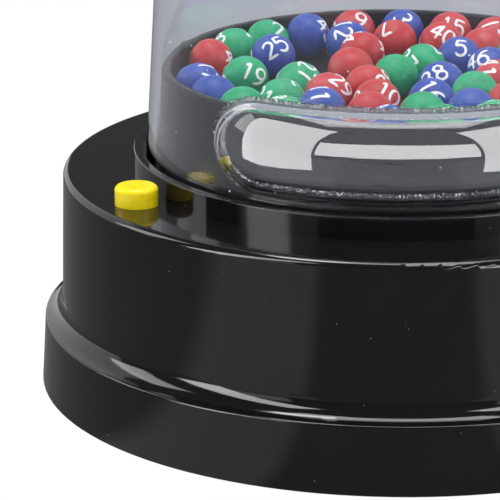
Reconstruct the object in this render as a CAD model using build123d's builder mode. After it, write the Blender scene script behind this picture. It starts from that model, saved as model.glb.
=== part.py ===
"""Tabletop lottery ball machine: glossy round base, ball bowl, clear lift-off dome with a ball gallery.

Millimetres, +Z up. The origin is on the table under the machine's axis, and the gallery faces -Y.
An azimuth is the angle from the front (-Y) towards the right (+X), in degrees.
"""

import os
from math import acos, cos, pi, radians, sin, sqrt, tan

from build123d import *

os.makedirs("parts", exist_ok=True)

# ---------------------------------------------------------------- clearances
running_gap = 0.05  # radial, a shaft that turns in its bearing
slide_gap = 0.2  # radial, a button or a lid in its hole
seat_gap = 0.2  # a lift-off piece over what it rests on
screw_gap = 0.3  # radial, a screw in a plain hole
snug = 0.01  # radial, a shaft pressed in its hub
cut_spare = 1.0  # how far a cutting form reaches past what it cuts

# ---------------------------------------------------------------- the balls, which size the bowl
ball_diameter = 10.0
ball_rest_gap = 0.03
ball_wall_gap = 0.45  # from the outer balls to the bowl's wall at its rim
ball_pitch = 1.035  # from ring to ring, in ball diameters
# Rings of balls from the wall inwards: angle of its first place from +X, and one letter for each
# place round the ring: red, green, blue, or a dot where no ball lies. A green one lies in the middle.
ball_rings = (
    (102.0, "rbggr.bbgg.bgg.gr.brbrrb"),
    (70.5, "rrb.b.g.gbrgbrg.bgr"),
    (19.0, "bb.r..grrbgr"),
    (58.0, "grrb"),
)

# ---------------------------------------------------------------- bowl and turntable
bowl_in_balls = 5.03  # outer radius of the bowl's foot, in ball diameters
bowl_foot_radius = bowl_in_balls * ball_diameter
bowl_draft = 0.6
bowl_rim_radius = bowl_foot_radius - bowl_draft
bowl_wall = 2.0
bowl_rim_height = 22.8  # rim above the deck
bowl_rim_edge = 0.6
bowl_floor_height = 9.2  # floor's upper face above the deck
bowl_floor = 2.0
gate_azimuth = 34.0  # notch in the bowl's wall that lets balls into the gallery
gate_width = 13.0
gate_drop = 0.2  # sill of the notch below the turntable's face
gate_corner = 2.0
bush_boss_radius = 5.0
bush_boss = 4.0  # length of the boss under the bowl's floor
bowl_boss_radius = 3.6
bowl_boss_inset = 10.3  # screws from the bowl's foot
bowl_boss_ring = bowl_foot_radius - bowl_boss_inset
bowl_screw_angles = (30.0, 150.0, 270.0)
turntable_top_height = 14.3  # above the deck
turntable_thickness = 1.6
turntable_gap = 0.45  # to the bowl's wall
turntable_hub_radius = 4.6
turntable_hub_depth = 2.7
shaft_inset = 0.8  # shaft's end below the turntable's face
turntable_rib_height = 1.4
turntable_rib_width = 1.6
turntable_rib_inset = 3.5  # outer end of a rib from the rim
rib_overlap = 0.5  # inner end of a rib inside the hub
turntable_ribs = 6
paddle_inset = 1.3  # outer end of a paddle from the rim
paddle_length = 7.6
paddle_width = 2.0
paddle_height = 2.6
paddle_azimuths = (87.0, 267.0)

# ---------------------------------------------------------------- dome and gallery
dome_wall = 1.8
dome_gap = 0.36  # from the bowl's foot out to the dome's inside at dome_gauge_height
dome_gauge_height = 13.8  # above the deck
dome_radius = bowl_foot_radius + dome_gap + dome_wall  # outside, at dome_gauge_height
dome_taper = 3.0  # degrees
dome_height = 124.0  # crown above the deck
dome_shoulder = 17.0  # rounding between the side and the crown
dome_crown_rise = 2.2
crown_pad_radius = 4.0  # flat spot in the middle of the crown, where the moulding's gate was
gallery_bulge = 9.94  # front of the gallery from the dome
gallery_depth_radius = dome_radius + gallery_bulge  # from the axis
gallery_flatter = 2.54
gallery_curve = dome_radius + gallery_flatter  # radius of its front in plan
gallery_half_width = 37.2
gallery_centre_height = 16.2  # above the deck
gallery_half_height = 9.7
gallery_wall = 1.5
gallery_edge = 4.1  # rounding of its front edge
gallery_glue_gap = 0.02

# ---------------------------------------------------------------- base housing
foot_proud = 0.8  # how far the rubber feet hold the skirt above the table
collar_gap = 1.44  # from dome_radius to the collar that the dome stands in
collar_width = 1.9
collar_inner_radius = dome_radius + collar_gap
collar_outer_radius = collar_inner_radius + collar_width
deck_width = 20.2  # from the collar to the skirt's bottom edge
base_radius = collar_outer_radius + deck_width  # skirt at its bottom edge
skirt_draft = 0.8
skirt_top_radius = base_radius - skirt_draft
skirt_height = 14.3
skirt_edge = 0.5  # rounding of the skirt's top edge
wall_inset = 4.6  # upper wall's foot from the skirt's bottom edge
wall_draft = 0.5
wall_foot_radius = base_radius - wall_inset
wall_top_radius = wall_foot_radius - wall_draft
cove_height = 4.6  # hollow curve from the skirt to the upper wall
cove_bow = 0.72  # its radius over its chord
deck_height = 46.4  # deck above the skirt's bottom edge
deck_edge = 1.4
housing_wall = 2.2
deck_thickness = 2.4
collar_height = 4.6
collar_edge = 0.3
shaft_hole_radius = 3.0

# ---------------------------------------------------------------- button and switch
button_azimuth = -59.9
button_offset = 6.0  # button's axis from the collar
button_ring = collar_outer_radius + button_offset
button_radius = 4.5
button_proud = 4.0
button_edge = 1.0
button_flange_radius = 6.0
button_flange = 1.3
button_stem_radius = 2.0
button_stem = 2.4
button_travel = 1.8
plunger_radius = 1.5
plunger_length = 4.7
plunger_seen = 2.1  # plunger above the switch body
plunger_spare = 0.2  # room under the plunger when the button is right down
switch_side = 8.0
switch_height = 7.2
board_length = 22.4
board_width = 10.0
board_thickness = 1.2
board_screw_offset = 9.0
board_boss_radius = 2.6
spring_radius = 3.2
spring_wire = 0.45
spring_turns = 4

# ---------------------------------------------------------------- gear train
gear_module = 0.7
pinion_teeth = 12
wheel_teeth = 30
output_teeth = 36
pressure_angle = 20.0
addendum = 0.95  # in modules
dedendum = 1.25
undercut_teeth = 17  # gears with fewer teeth have narrowed roots
undercut = 0.8
gear_backlash = 0.16
gear_face = 2.6
gear_levels_pitch = 3.2
gear_floor_gap = 0.4
gear_hub_radius = 2.6
gear_hub_gap = 0.2  # output gear's hub under the upper plate
plate_thickness = 1.8
plate_spacing = 10.6
plate_margin = 5.0
pillar_radius = 3.0
gearbox_boss = 1.2  # length of the housing bosses that the gearbox hangs from
first_link_angle = -20.0  # output gear to second compound gear, from +X
second_link_angle = -60.0
third_link_angle = -150.0
pillar_places = ((-3.0, 17.5), (31.0, -1.0), (-2.0, -19.0), (24.0, -34.0))
axle_radius = 1.0
shaft_radius = 1.5
shaft_flat = 1.1  # flat of the shaft, from its axis
axle_inset = 0.2  # ends of the axles inside the plates' outer faces
bush_wall = 1.4
bush_flange = 0.6
bush_flange_extra = 1.3

# ---------------------------------------------------------------- motor
motor_radius = 10.0
motor_flats = 15.4
motor_can_length = 20.5
motor_wall = 0.8
motor_front = 3.0  # thickness of the case's front, which holds the screws
motor_flat_angle = 120.0  # long way of the case, from +X
motor_endcap_length = 4.2
endcap_inset = 0.3
motor_nose_radius = 3.0
motor_nose = 1.4
motor_shaft_radius = 1.0
motor_shaft_seat = 0.9  # closed end of the shaft's hole above the endcap's face
motor_screw_offset = 8.0
magnet_inner_radius = 6.8
magnet_width = 11.0
magnet_length = 13.0
armature_radius = 6.2
armature_length = 12.0
armature_slot = 2.2
armature_core = 3.2
commutator_radius = 2.2
commutator_length = 2.0
armature_gap = 0.6  # commutator above the endcap
terminal_height = 2.0  # above the endcap's face
terminal_thickness = 0.5
terminal_width = 2.4
terminal_length = 5.0
terminal_proud = 2.4

# ---------------------------------------------------------------- base plate, battery bay and feet
plate_gap = 0.8  # base plate to the skirt's inside
plate_radius = base_radius - housing_wall - plate_gap
base_plate_thickness = 2.4
base_plate_recess = 1.0  # above the skirt's bottom edge
base_screw_inset = 10.5
base_screw_ring = plate_radius - base_screw_inset
base_screw_angles = (45.0, 135.0, 225.0, 315.0)
base_boss_radius = 4.0
foot_inset = 9.0
foot_ring = plate_radius - foot_inset
foot_angles = (30.0, 150.0, 240.0, 300.0)
foot_radius = 5.0
foot_recess = 0.5
cell_radius = 7.2
cell_length = 49.2
cell_nub_radius = 2.7
cell_nub = 1.3
cell_pitch = 14.8
cell_count = 3
bay_length = 55.4
bay_clearance = 0.3
bay_wall = 1.6
bay_inset = 14.7  # far side of the cells' room from the upper wall's foot
door_margin = 2.0
door_thickness = 1.4
door_seat = 0.3
door_corner = 2.0
door_tab_radius = 4.2
door_screw_offset = 5.0  # screws from the edges of the bay
door_boss_radius = 3.3
door_boss = 7.0
door_rib_x = 14.0
door_rib_width = 1.6
door_rib_height = 2.6
contact_thickness = 0.5
contact_width = 8.0
contact_height = 10.0
tongue_width = 5.0
tongue_rise = 3.6
tongue_strip = 0.45
tongue_flat = 0.4
tab_width = 3.0
tab_proud = 2.6  # above the bay's roof

# ---------------------------------------------------------------- fasteners and wires
small_screw_radius = 1.1
small_head_radius = 2.1
small_head = 1.3
base_screw_radius = 1.4
base_head_radius = 2.8
base_head = 1.5
pilot_gap = 0.02
pilot_spare = 0.2  # pilot holes go this much deeper than the screws
bowl_screw_grip = 6.0
gearbox_screw_grip = 2.4
board_screw_grip = 5.0
base_screw_grip = 8.1
motor_screw_grip = 2.6
door_screw_grip = 4.5
base_head_depth = 1.5
door_head_depth = 0.8
door_head = 0.7
slot_width = 0.6
slot_depth = 0.4
wire_radius = 0.65
solder_gap = 0.02
solder_offset = 6.0  # solder points from the button's axis, along and across the board
solder_inset = 2.5
wire_level = 22.2  # height at which the wires cross the base
motor_wire_level = 12.0
wire_bay_gap = 12.3  # wires from the cells' room
wire_wall_gap = 16.9  # wires from the upper wall's foot
wire_lead = 4.0
wire_dip = (-14.0, -34.0)  # where a wire goes down beside the motor
wire_rise = (36.0, 4.0)  # where the other one has come up again
bend_share = 0.45  # of the shorter run that a bend may use up

# ---------------------------------------------------------------- heights worked out from the above
skirt_bottom = foot_proud
skirt_top = skirt_bottom + skirt_height
deck = skirt_bottom + deck_height
deck_under = deck - deck_thickness
collar_top = deck + collar_height
bowl_rim = deck + bowl_rim_height
bowl_floor_top = deck + bowl_floor_height
bowl_floor_under = bowl_floor_top - bowl_floor
turntable_top = deck + turntable_top_height
turntable_under = turntable_top - turntable_thickness
hub_bottom = turntable_under - turntable_hub_depth
shaft_top = turntable_top - shaft_inset
bush_bottom = bowl_floor_under - bush_boss
bush_radius = shaft_radius + bush_wall
gate_sill = turntable_top - gate_drop
gate_top = bowl_rim + cut_spare
dome_bottom = deck + seat_gap
dome_crown = deck + dome_height
dome_edge_height = dome_crown - dome_crown_rise
ball_radius = ball_diameter / 2
ball_level = turntable_top + ball_rest_gap + ball_radius
ball_outer_ring = bowl_rim_radius - bowl_wall - ball_radius - ball_wall_gap
gallery_centre = deck + gallery_centre_height
plate_upper_top = deck_under - gearbox_boss
plate_upper_under = plate_upper_top - plate_thickness
plate_lower_top = plate_upper_under - plate_spacing
plate_lower_under = plate_lower_top - plate_thickness
level_low = plate_lower_top + gear_floor_gap
level_mid = level_low + gear_levels_pitch
level_high = level_mid + gear_levels_pitch
output_hub_top = plate_upper_under - gear_hub_gap
shaft_bottom = plate_lower_under + axle_inset
axle_bottom = plate_lower_under + axle_inset
axle_top = plate_upper_top - axle_inset
motor_can_top = plate_lower_under
motor_can_bottom = motor_can_top - motor_can_length
motor_bottom = motor_can_bottom - motor_endcap_length
motor_shaft_bottom = motor_bottom + motor_shaft_seat
motor_shaft_top = level_low + gear_face
terminal_level = motor_bottom + terminal_height
base_plate_under = skirt_bottom + base_plate_recess
base_plate_top = base_plate_under + base_plate_thickness
door_under = base_plate_under
door_top = door_under + door_thickness
door_rebate = door_thickness + door_seat
base_boss_end = base_plate_top
cell_axis_height = base_plate_top + cell_radius + bay_clearance
bay_roof = cell_axis_height + cell_radius + bay_clearance
bay_width = cell_count * cell_pitch + bay_clearance
bay_near_y = wall_foot_radius - bay_inset - bay_width
bay_middle_y = bay_near_y + bay_width / 2
cell_rows = [bay_middle_y + cell_pitch * (row - (cell_count - 1) / 2) for row in range(cell_count)]
cell_half_length = (cell_length + cell_nub) / 2
contact_face = bay_length / 2 - contact_thickness
flange_top = deck_under - seat_gap
flange_under = flange_top - button_flange
plunger_top = flange_under - button_stem
switch_top = plunger_top - plunger_seen
board_top = switch_top - switch_height
board_under = board_top - board_thickness
button_top = deck + button_proud
plunger_well = plunger_length - plunger_seen + button_travel + plunger_spare
spring_bottom = switch_top + spring_wire / 2 + solder_gap
spring_rise = (flange_under - switch_top - spring_wire - 2 * solder_gap) / (2 * spring_turns)


def around(radius, azimuth):
    """Point at a radius and an azimuth, the angle from the front towards the right."""
    return (radius * sin(radians(azimuth)), -radius * cos(radians(azimuth)))


def polar(radius, angle):
    """Point at a radius and an angle from +X."""
    return (radius * cos(radians(angle)), radius * sin(radians(angle)))


def step_to(start, length, angle):
    """Point at a length and an angle from another point."""
    return (start[0] + length * cos(radians(angle)), start[1] + length * sin(radians(angle)))


def dome_outside(height):
    """Outer radius of the dome's conical side at a height above the table."""
    return dome_radius + (deck + dome_gauge_height - height) * tan(radians(dome_taper))


def dome_inside(height):
    """Inner radius of the dome's conical side at a height above the table."""
    return dome_outside(height) - dome_wall / cos(radians(dome_taper))


def crown_height(radius, depth):
    """Height of the dome's spherical crown at a radius, at a depth below its outer face."""
    edge_radius = dome_outside(dome_edge_height)
    sphere_radius = (edge_radius**2 + dome_crown_rise**2) / (2 * dome_crown_rise)
    return dome_crown - sphere_radius + sqrt((sphere_radius - depth) ** 2 - radius**2)


def bowl_outside(height):
    """Outer radius of the bowl's wall at a height above the table."""
    return bowl_foot_radius - (bowl_foot_radius - bowl_rim_radius) * (height - deck) / bowl_rim_height


def finish(part, name):
    """Labels a finished part and writes it."""
    part.label = name
    export_step(part, f"parts/{name}.step")


button_place = around(button_ring, button_azimuth)
board_ways = [(cos(radians(button_azimuth)), sin(radians(button_azimuth))), around(-1.0, button_azimuth)]


def on_board(along, inwards):
    """Point of the switch board, from the button's axis along the board and towards the machine's axis."""
    return (
        button_place[0] + along * board_ways[0][0] + inwards * board_ways[1][0],
        button_place[1] + along * board_ways[0][1] + inwards * board_ways[1][1],
    )


board_screw_places = [on_board(-board_screw_offset, 0), on_board(board_screw_offset, 0)]
bowl_screw_places = [polar(bowl_boss_ring, angle) for angle in bowl_screw_angles]
base_screw_places = [polar(base_screw_ring, angle) for angle in base_screw_angles]
foot_places = [polar(foot_ring, angle) for angle in foot_angles]
door_screw_places = [(0, bay_near_y - door_screw_offset), (0, bay_near_y + bay_width + door_screw_offset)]
near_row, middle_row, far_row = cell_rows
tab_x = contact_face + contact_thickness / 2
tab_places = [(-tab_x, near_row), (tab_x, far_row)]

output_place = (0.0, 0.0)
second_place = step_to(output_place, gear_module * (output_teeth + pinion_teeth) / 2, first_link_angle)
first_place = step_to(second_place, gear_module * (wheel_teeth + pinion_teeth) / 2, second_link_angle)
motor_place = step_to(first_place, gear_module * (wheel_teeth + pinion_teeth) / 2, third_link_angle)
motor_screw_places = [
    step_to(motor_place, motor_screw_offset, motor_flat_angle),
    step_to(motor_place, -motor_screw_offset, motor_flat_angle),
]
terminal_middle = motor_flats / 2 + terminal_proud - terminal_length / 2
terminal_ways = (motor_flat_angle - 90, motor_flat_angle + 90)
turntable_radius = bowl_outside(turntable_under) - bowl_wall - turntable_gap
bowl_inner_radius = bowl_outside(bowl_floor_top) - bowl_wall
turntable_rib_start = turntable_hub_radius - rib_overlap
turntable_rib_length = turntable_radius - turntable_rib_inset - turntable_rib_start
turntable_rib_middle = turntable_rib_start + turntable_rib_length / 2
paddle_middle = turntable_radius - paddle_inset - paddle_length / 2


def rings(part, radius, height):
    """Circular edges about the machine's axis with a radius, at a height."""
    circles = part.edges().filter_by(GeomType.CIRCLE)
    return [e for e in circles if abs(e.radius - radius) < 0.01 and abs(e.arc_center.Z - height) < 0.01]


def gear_turn(turn, teeth, next_teeth, link_angle):
    """Turn of the next gear so that its gaps meet the teeth of a gear that is already turned."""
    phase = (link_angle - turn) * teeth / 360
    return link_angle + 180 - (0.5 - phase) * 360 / next_teeth


def gear_outline(teeth, turn):
    """Corners of a spur gear: root, pitch and tip of both flanks of each tooth, on involutes."""
    pitch_radius = gear_module * teeth / 2
    base = pitch_radius * cos(radians(pressure_angle))
    tip = pitch_radius + addendum * gear_module
    root = pitch_radius - dedendum * gear_module

    def half_angle(radius):
        at_pitch = (pi * gear_module - gear_backlash) / (4 * pitch_radius)
        roll = acos(min(1.0, base / radius))
        return at_pitch + involute(radians(pressure_angle)) - involute(roll)

    root_half = half_angle(max(base, root)) * (undercut if teeth < undercut_teeth else 1.0)
    corners = []
    for tooth in range(teeth):
        middle = radians(turn + 360 * tooth / teeth)
        flank = [(root, root_half), (pitch_radius, half_angle(pitch_radius)), (tip, half_angle(tip))]
        for radius, half in flank:
            corners.append((radius * cos(middle - half), radius * sin(middle - half)))
        for radius, half in reversed(flank):
            corners.append((radius * cos(middle + half), radius * sin(middle + half)))
    return corners


def involute(angle):
    """Involute function of a pressure angle in radians."""
    return tan(angle) - angle


def bend_radii(points):
    """Radius of each bend of a wire: bend_share of its shorter run over the tangent of half the turn."""
    radii = []
    for before, corner, after in zip(points, points[1:], points[2:]):
        run_in = Vector(corner) - Vector(before)
        run_out = Vector(after) - Vector(corner)
        half_turn = radians(run_in.get_angle(run_out)) / 2
        radii.append(bend_share * min(run_in.length, run_out.length) / tan(half_turn))
    return radii


def placed(place, angle):
    """Location of a sketch at a point, turned by an angle."""
    return Location((place[0], place[1], 0), (0, 0, angle))


output_turn = 0.0
second_turn = gear_turn(output_turn, output_teeth, pinion_teeth, first_link_angle)
first_turn = gear_turn(second_turn, wheel_teeth, pinion_teeth, second_link_angle)
motor_turn = gear_turn(first_turn, wheel_teeth, pinion_teeth, third_link_angle)


# ---------------------------------------------------------------- base housing
with BuildPart() as base_housing:
    with BuildSketch(Plane.XZ):
        with BuildLine():
            skirt = Polyline(
                (0, deck_under),
                (wall_top_radius - housing_wall, deck_under),
                (wall_foot_radius - housing_wall, skirt_top - housing_wall),
                (skirt_top_radius - housing_wall, skirt_top - housing_wall),
                (base_radius - housing_wall, skirt_bottom),
                (base_radius, skirt_bottom),
                (skirt_top_radius, skirt_top),
            )
            cove_end = (wall_foot_radius, skirt_top + cove_height)
            cove_chord = sqrt((skirt_top_radius - wall_foot_radius) ** 2 + cove_height**2)
            cove = RadiusArc(skirt @ 1, cove_end, cove_bow * cove_chord)
            Polyline(
                cove @ 1,
                (wall_top_radius, deck),
                (collar_outer_radius, deck),
                (collar_outer_radius, collar_top),
                (collar_inner_radius, collar_top),
                (collar_inner_radius, deck),
                (0, deck),
                (0, deck_under),
            )
        make_face()
    revolve(axis=Axis.Z)
    fillet(rings(base_housing, skirt_top_radius, skirt_top), radius=skirt_edge)
    fillet(rings(base_housing, wall_top_radius, deck), radius=deck_edge)
    fillet(rings(base_housing, collar_outer_radius, collar_top), radius=collar_edge)
    fillet(rings(base_housing, collar_inner_radius, collar_top), radius=collar_edge)
    # bosses for the base plate, the gearbox and the switch board hang from the deck
    with BuildSketch(Plane.XY.offset(base_boss_end)):
        with Locations(*base_screw_places):
            Circle(base_boss_radius)
    extrude(amount=deck_under - base_boss_end)
    with BuildSketch(Plane.XY.offset(plate_upper_top)):
        with Locations(*pillar_places):
            Circle(pillar_radius)
    extrude(amount=gearbox_boss)
    with BuildSketch(Plane.XY.offset(board_top)):
        with Locations(*board_screw_places):
            Circle(board_boss_radius)
    extrude(amount=deck_under - board_top)
    # pilot holes for their screws
    with BuildSketch(Plane.XY.offset(base_boss_end)):
        with Locations(*base_screw_places):
            Circle(base_screw_radius + pilot_gap)
    extrude(amount=base_screw_grip + pilot_spare, mode=Mode.SUBTRACT)
    with BuildSketch(Plane.XY.offset(plate_upper_top)):
        with Locations(*pillar_places):
            Circle(small_screw_radius + pilot_gap)
    extrude(amount=gearbox_screw_grip + pilot_spare, mode=Mode.SUBTRACT)
    with BuildSketch(Plane.XY.offset(board_top)):
        with Locations(*board_screw_places):
            Circle(small_screw_radius + pilot_gap)
    extrude(amount=board_screw_grip + pilot_spare, mode=Mode.SUBTRACT)
    # holes through the deck for the button, the drive shaft and the bowl's screws
    with BuildSketch(Plane.XY.offset(deck_under)):
        with Locations(button_place):
            Circle(button_radius + slide_gap)
        Circle(shaft_hole_radius)
        with Locations(*bowl_screw_places):
            Circle(small_screw_radius + screw_gap)
    extrude(amount=deck_thickness, mode=Mode.SUBTRACT)
finish(base_housing.part, "base_housing")

# ---------------------------------------------------------------- ball bowl
gate_way = (*around(1.0, gate_azimuth), 0)
gate_across = (cos(radians(gate_azimuth)), sin(radians(gate_azimuth)), 0)
with BuildPart() as ball_bowl:
    with BuildSketch(Plane.XZ):
        Polygon(
            (0, bowl_floor_under),
            (bowl_foot_radius - bowl_wall, bowl_floor_under),
            (bowl_foot_radius - bowl_wall, deck),
            (bowl_foot_radius, deck),
            (bowl_rim_radius, bowl_rim),
            (bowl_rim_radius - bowl_wall, bowl_rim),
            (bowl_inner_radius, bowl_floor_top),
            (0, bowl_floor_top),
            align=None,
        )
    revolve(axis=Axis.Z)
    fillet(rings(ball_bowl, bowl_rim_radius, bowl_rim), radius=bowl_rim_edge)
    fillet(rings(ball_bowl, bowl_rim_radius - bowl_wall, bowl_rim), radius=bowl_rim_edge)
    # boss for the bush, and three bosses for the screws that come up through the deck
    with BuildSketch(Plane.XY.offset(bush_bottom)):
        Circle(bush_boss_radius)
    extrude(amount=bush_boss)
    with BuildSketch(Plane.XY.offset(deck)):
        with Locations(*bowl_screw_places):
            Circle(bowl_boss_radius)
    extrude(amount=bowl_floor_under - deck)
    with BuildSketch(Plane.XY.offset(deck)):
        with Locations(*bowl_screw_places):
            Circle(small_screw_radius + pilot_gap)
    extrude(amount=bowl_screw_grip + pilot_spare, mode=Mode.SUBTRACT)
    with BuildSketch(Plane.XY.offset(bush_bottom)):
        Circle(bush_radius)
    extrude(amount=bowl_floor_top - bush_bottom, mode=Mode.SUBTRACT)
    # notch in the wall, down to the turntable, by which balls roll into the gallery
    with BuildSketch(Plane(origin=(0, 0, 0), x_dir=gate_across, z_dir=gate_way)) as gate:
        with Locations((0, (gate_sill + gate_top) / 2)):
            Rectangle(gate_width, gate_top - gate_sill)
        fillet(gate.vertices().group_by(Axis.Y)[0], radius=gate_corner)
    extrude(amount=2 * bowl_foot_radius, mode=Mode.SUBTRACT)
finish(ball_bowl.part, "ball_bowl")

# ---------------------------------------------------------------- shaft bush
with BuildPart() as shaft_bush:
    with BuildSketch(Plane.XZ):
        Polygon(
            (shaft_radius + running_gap, bush_bottom),
            (bush_radius - snug, bush_bottom),
            (bush_radius - snug, bowl_floor_top),
            (bush_radius + bush_flange_extra, bowl_floor_top),
            (bush_radius + bush_flange_extra, bowl_floor_top + bush_flange),
            (shaft_radius + running_gap, bowl_floor_top + bush_flange),
            align=None,
        )
    revolve(axis=Axis.Z)
finish(shaft_bush.part, "shaft_bush")

# ---------------------------------------------------------------- turntable
with BuildPart() as turntable:
    with BuildSketch(Plane.XY.offset(turntable_under)):
        Circle(turntable_radius)
    extrude(amount=turntable_thickness)
    with BuildSketch(Plane.XY.offset(hub_bottom)):
        Circle(turntable_hub_radius)
    extrude(amount=turntable_hub_depth)
    # stiffening ribs under the disc
    with BuildSketch(Plane.XY.offset(turntable_under - turntable_rib_height)):
        with PolarLocations(turntable_rib_middle, turntable_ribs):
            Rectangle(turntable_rib_length, turntable_rib_width)
    extrude(amount=turntable_rib_height)
    # two paddles near the rim stir the balls
    with BuildSketch(Plane.XY.offset(turntable_top)):
        with PolarLocations(paddle_middle, len(paddle_azimuths), paddle_azimuths[0] - 90):
            SlotOverall(paddle_length, paddle_width)
    extrude(amount=paddle_height)
    with BuildSketch(Plane.XY.offset(hub_bottom)):
        Circle(shaft_radius + snug)
        with Locations((shaft_flat + snug + shaft_radius, 0)):
            Rectangle(2 * shaft_radius, 4 * shaft_radius, mode=Mode.SUBTRACT)
    extrude(amount=shaft_top - hub_bottom + snug, mode=Mode.SUBTRACT)
finish(turntable.part, "turntable")

# ---------------------------------------------------------------- balls
ball_places = {"r": [], "g": [(0, 0, ball_level)], "b": []}
for ring, (first_angle, letters) in enumerate(ball_rings):
    ring_radius = ball_outer_ring - ring * ball_pitch * ball_diameter
    for place, letter in enumerate(letters):
        if letter != ".":
            x, y = polar(ring_radius, first_angle + 360 * place / len(letters))
            ball_places[letter].append((x, y, ball_level))

for letter, name in (("r", "balls_red"), ("g", "balls_green"), ("b", "balls_blue")):
    with BuildPart() as balls:
        with Locations(*ball_places[letter]):
            Sphere(ball_radius)
    finish(balls.part, name)

# ---------------------------------------------------------------- drive shaft
with BuildPart() as drive_shaft:
    with BuildSketch(Plane.XY.offset(shaft_bottom)):
        Circle(shaft_radius)
    extrude(amount=shaft_top - shaft_bottom)
    with BuildSketch(Plane.XY.offset(hub_bottom)):
        with Locations((shaft_flat + shaft_radius, 0)):
            Rectangle(2 * shaft_radius, 4 * shaft_radius)
    extrude(amount=shaft_top - hub_bottom, mode=Mode.SUBTRACT)
    with BuildSketch(Plane.XY.offset(level_high)):
        with Locations((shaft_flat + shaft_radius, 0)):
            Rectangle(2 * shaft_radius, 4 * shaft_radius)
    extrude(amount=output_hub_top - level_high, mode=Mode.SUBTRACT)
finish(drive_shaft.part, "drive_shaft")

# ---------------------------------------------------------------- output gear
with BuildPart() as output_gear:
    with BuildSketch(Plane.XY.offset(level_high)):
        Polygon(*gear_outline(output_teeth, output_turn), align=None)
    extrude(amount=gear_face)
    with BuildSketch(Plane.XY.offset(level_high)):
        Circle(gear_hub_radius)
    extrude(amount=output_hub_top - level_high)
    with BuildSketch(Plane.XY.offset(level_high)):
        Circle(shaft_radius + snug)
        with Locations((shaft_flat + snug + shaft_radius, 0)):
            Rectangle(2 * shaft_radius, 4 * shaft_radius, mode=Mode.SUBTRACT)
    extrude(amount=output_hub_top - level_high, mode=Mode.SUBTRACT)
finish(output_gear.part, "output_gear")

# ---------------------------------------------------------------- compound gears
compound_gears = (
    ("compound_gear_1", first_place, first_turn, level_low),
    ("compound_gear_2", second_place, second_turn, level_mid),
)
for name, place, turn, wheel_level in compound_gears:
    pinion_level = wheel_level + gear_face
    with BuildPart() as compound_gear:
        with BuildSketch(Plane.XY.offset(wheel_level)):
            with Locations(place):
                Polygon(*gear_outline(wheel_teeth, turn), align=None)
        extrude(amount=gear_face)
        with BuildSketch(Plane.XY.offset(pinion_level)):
            with Locations(place):
                Polygon(*gear_outline(pinion_teeth, turn), align=None)
        extrude(amount=gear_levels_pitch)
        with BuildSketch(Plane.XY.offset(wheel_level)):
            with Locations(place):
                Circle(axle_radius + running_gap)
        extrude(amount=gear_face + gear_levels_pitch, mode=Mode.SUBTRACT)
    finish(compound_gear.part, name)

# ---------------------------------------------------------------- gear axles
with BuildPart() as gear_axles:
    with BuildSketch(Plane.XY.offset(axle_bottom)):
        with Locations(first_place, second_place):
            Circle(axle_radius)
    extrude(amount=axle_top - axle_bottom)
finish(gear_axles.part, "gear_axles")

# ---------------------------------------------------------------- gearbox plates
with BuildSketch() as plate_outline:
    for place in pillar_places:
        with Locations(place):
            Circle(plate_margin)
    with Locations(motor_place):
        Circle(motor_radius)
    make_hull()

with BuildPart() as gear_plate_upper:
    with BuildSketch(Plane.XY.offset(plate_upper_under)):
        add(plate_outline.sketch)
        with Locations(first_place, second_place):
            Circle(axle_radius + snug, mode=Mode.SUBTRACT)
        Circle(shaft_radius + running_gap, mode=Mode.SUBTRACT)
    extrude(amount=plate_thickness)
    # pillars that space the two plates, with the screws through them
    with BuildSketch(Plane.XY.offset(plate_lower_top)):
        with Locations(*pillar_places):
            Circle(pillar_radius)
    extrude(amount=plate_spacing)
    with BuildSketch(Plane.XY.offset(plate_lower_top)):
        with Locations(*pillar_places):
            Circle(small_screw_radius + screw_gap)
    extrude(amount=plate_spacing + plate_thickness, mode=Mode.SUBTRACT)
finish(gear_plate_upper.part, "gear_plate_upper")

with BuildPart() as gear_plate_lower:
    with BuildSketch(Plane.XY.offset(plate_lower_under)):
        add(plate_outline.sketch)
        with Locations(first_place, second_place):
            Circle(axle_radius + snug, mode=Mode.SUBTRACT)
        Circle(shaft_radius + running_gap, mode=Mode.SUBTRACT)
        with Locations(motor_place):
            Circle(motor_nose_radius + snug, mode=Mode.SUBTRACT)
        with Locations(*pillar_places):
            Circle(small_screw_radius + screw_gap, mode=Mode.SUBTRACT)
        with Locations(*motor_screw_places):
            Circle(small_screw_radius + screw_gap, mode=Mode.SUBTRACT)
    extrude(amount=plate_thickness)
finish(gear_plate_lower.part, "gear_plate_lower")

# ---------------------------------------------------------------- motor
with BuildPart() as motor_case:
    with BuildSketch(Plane.XY.offset(motor_can_bottom)):
        with Locations(placed(motor_place, motor_flat_angle)):
            Circle(motor_radius)
            Rectangle(2 * motor_radius, motor_flats, mode=Mode.INTERSECT)
    extrude(amount=motor_can_length)
    with BuildSketch(Plane.XY.offset(motor_can_bottom)):
        with Locations(placed(motor_place, motor_flat_angle)):
            Circle(motor_radius - motor_wall)
            Rectangle(2 * motor_radius, motor_flats - 2 * motor_wall, mode=Mode.INTERSECT)
    extrude(amount=motor_can_length - motor_front, mode=Mode.SUBTRACT)
    with BuildSketch(Plane.XY.offset(motor_can_top)):
        with Locations(motor_place):
            Circle(motor_nose_radius)
    extrude(amount=motor_nose)
    with BuildSketch(Plane.XY.offset(motor_can_top - motor_front)):
        with Locations(motor_place):
            Circle(motor_shaft_radius + running_gap)
    extrude(amount=motor_front + motor_nose, mode=Mode.SUBTRACT)
    with BuildSketch(Plane.XY.offset(motor_can_top)):
        with Locations(*motor_screw_places):
            Circle(small_screw_radius + pilot_gap)
    extrude(amount=-motor_screw_grip - pilot_spare, mode=Mode.SUBTRACT)
finish(motor_case.part, "motor_case")

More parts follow.
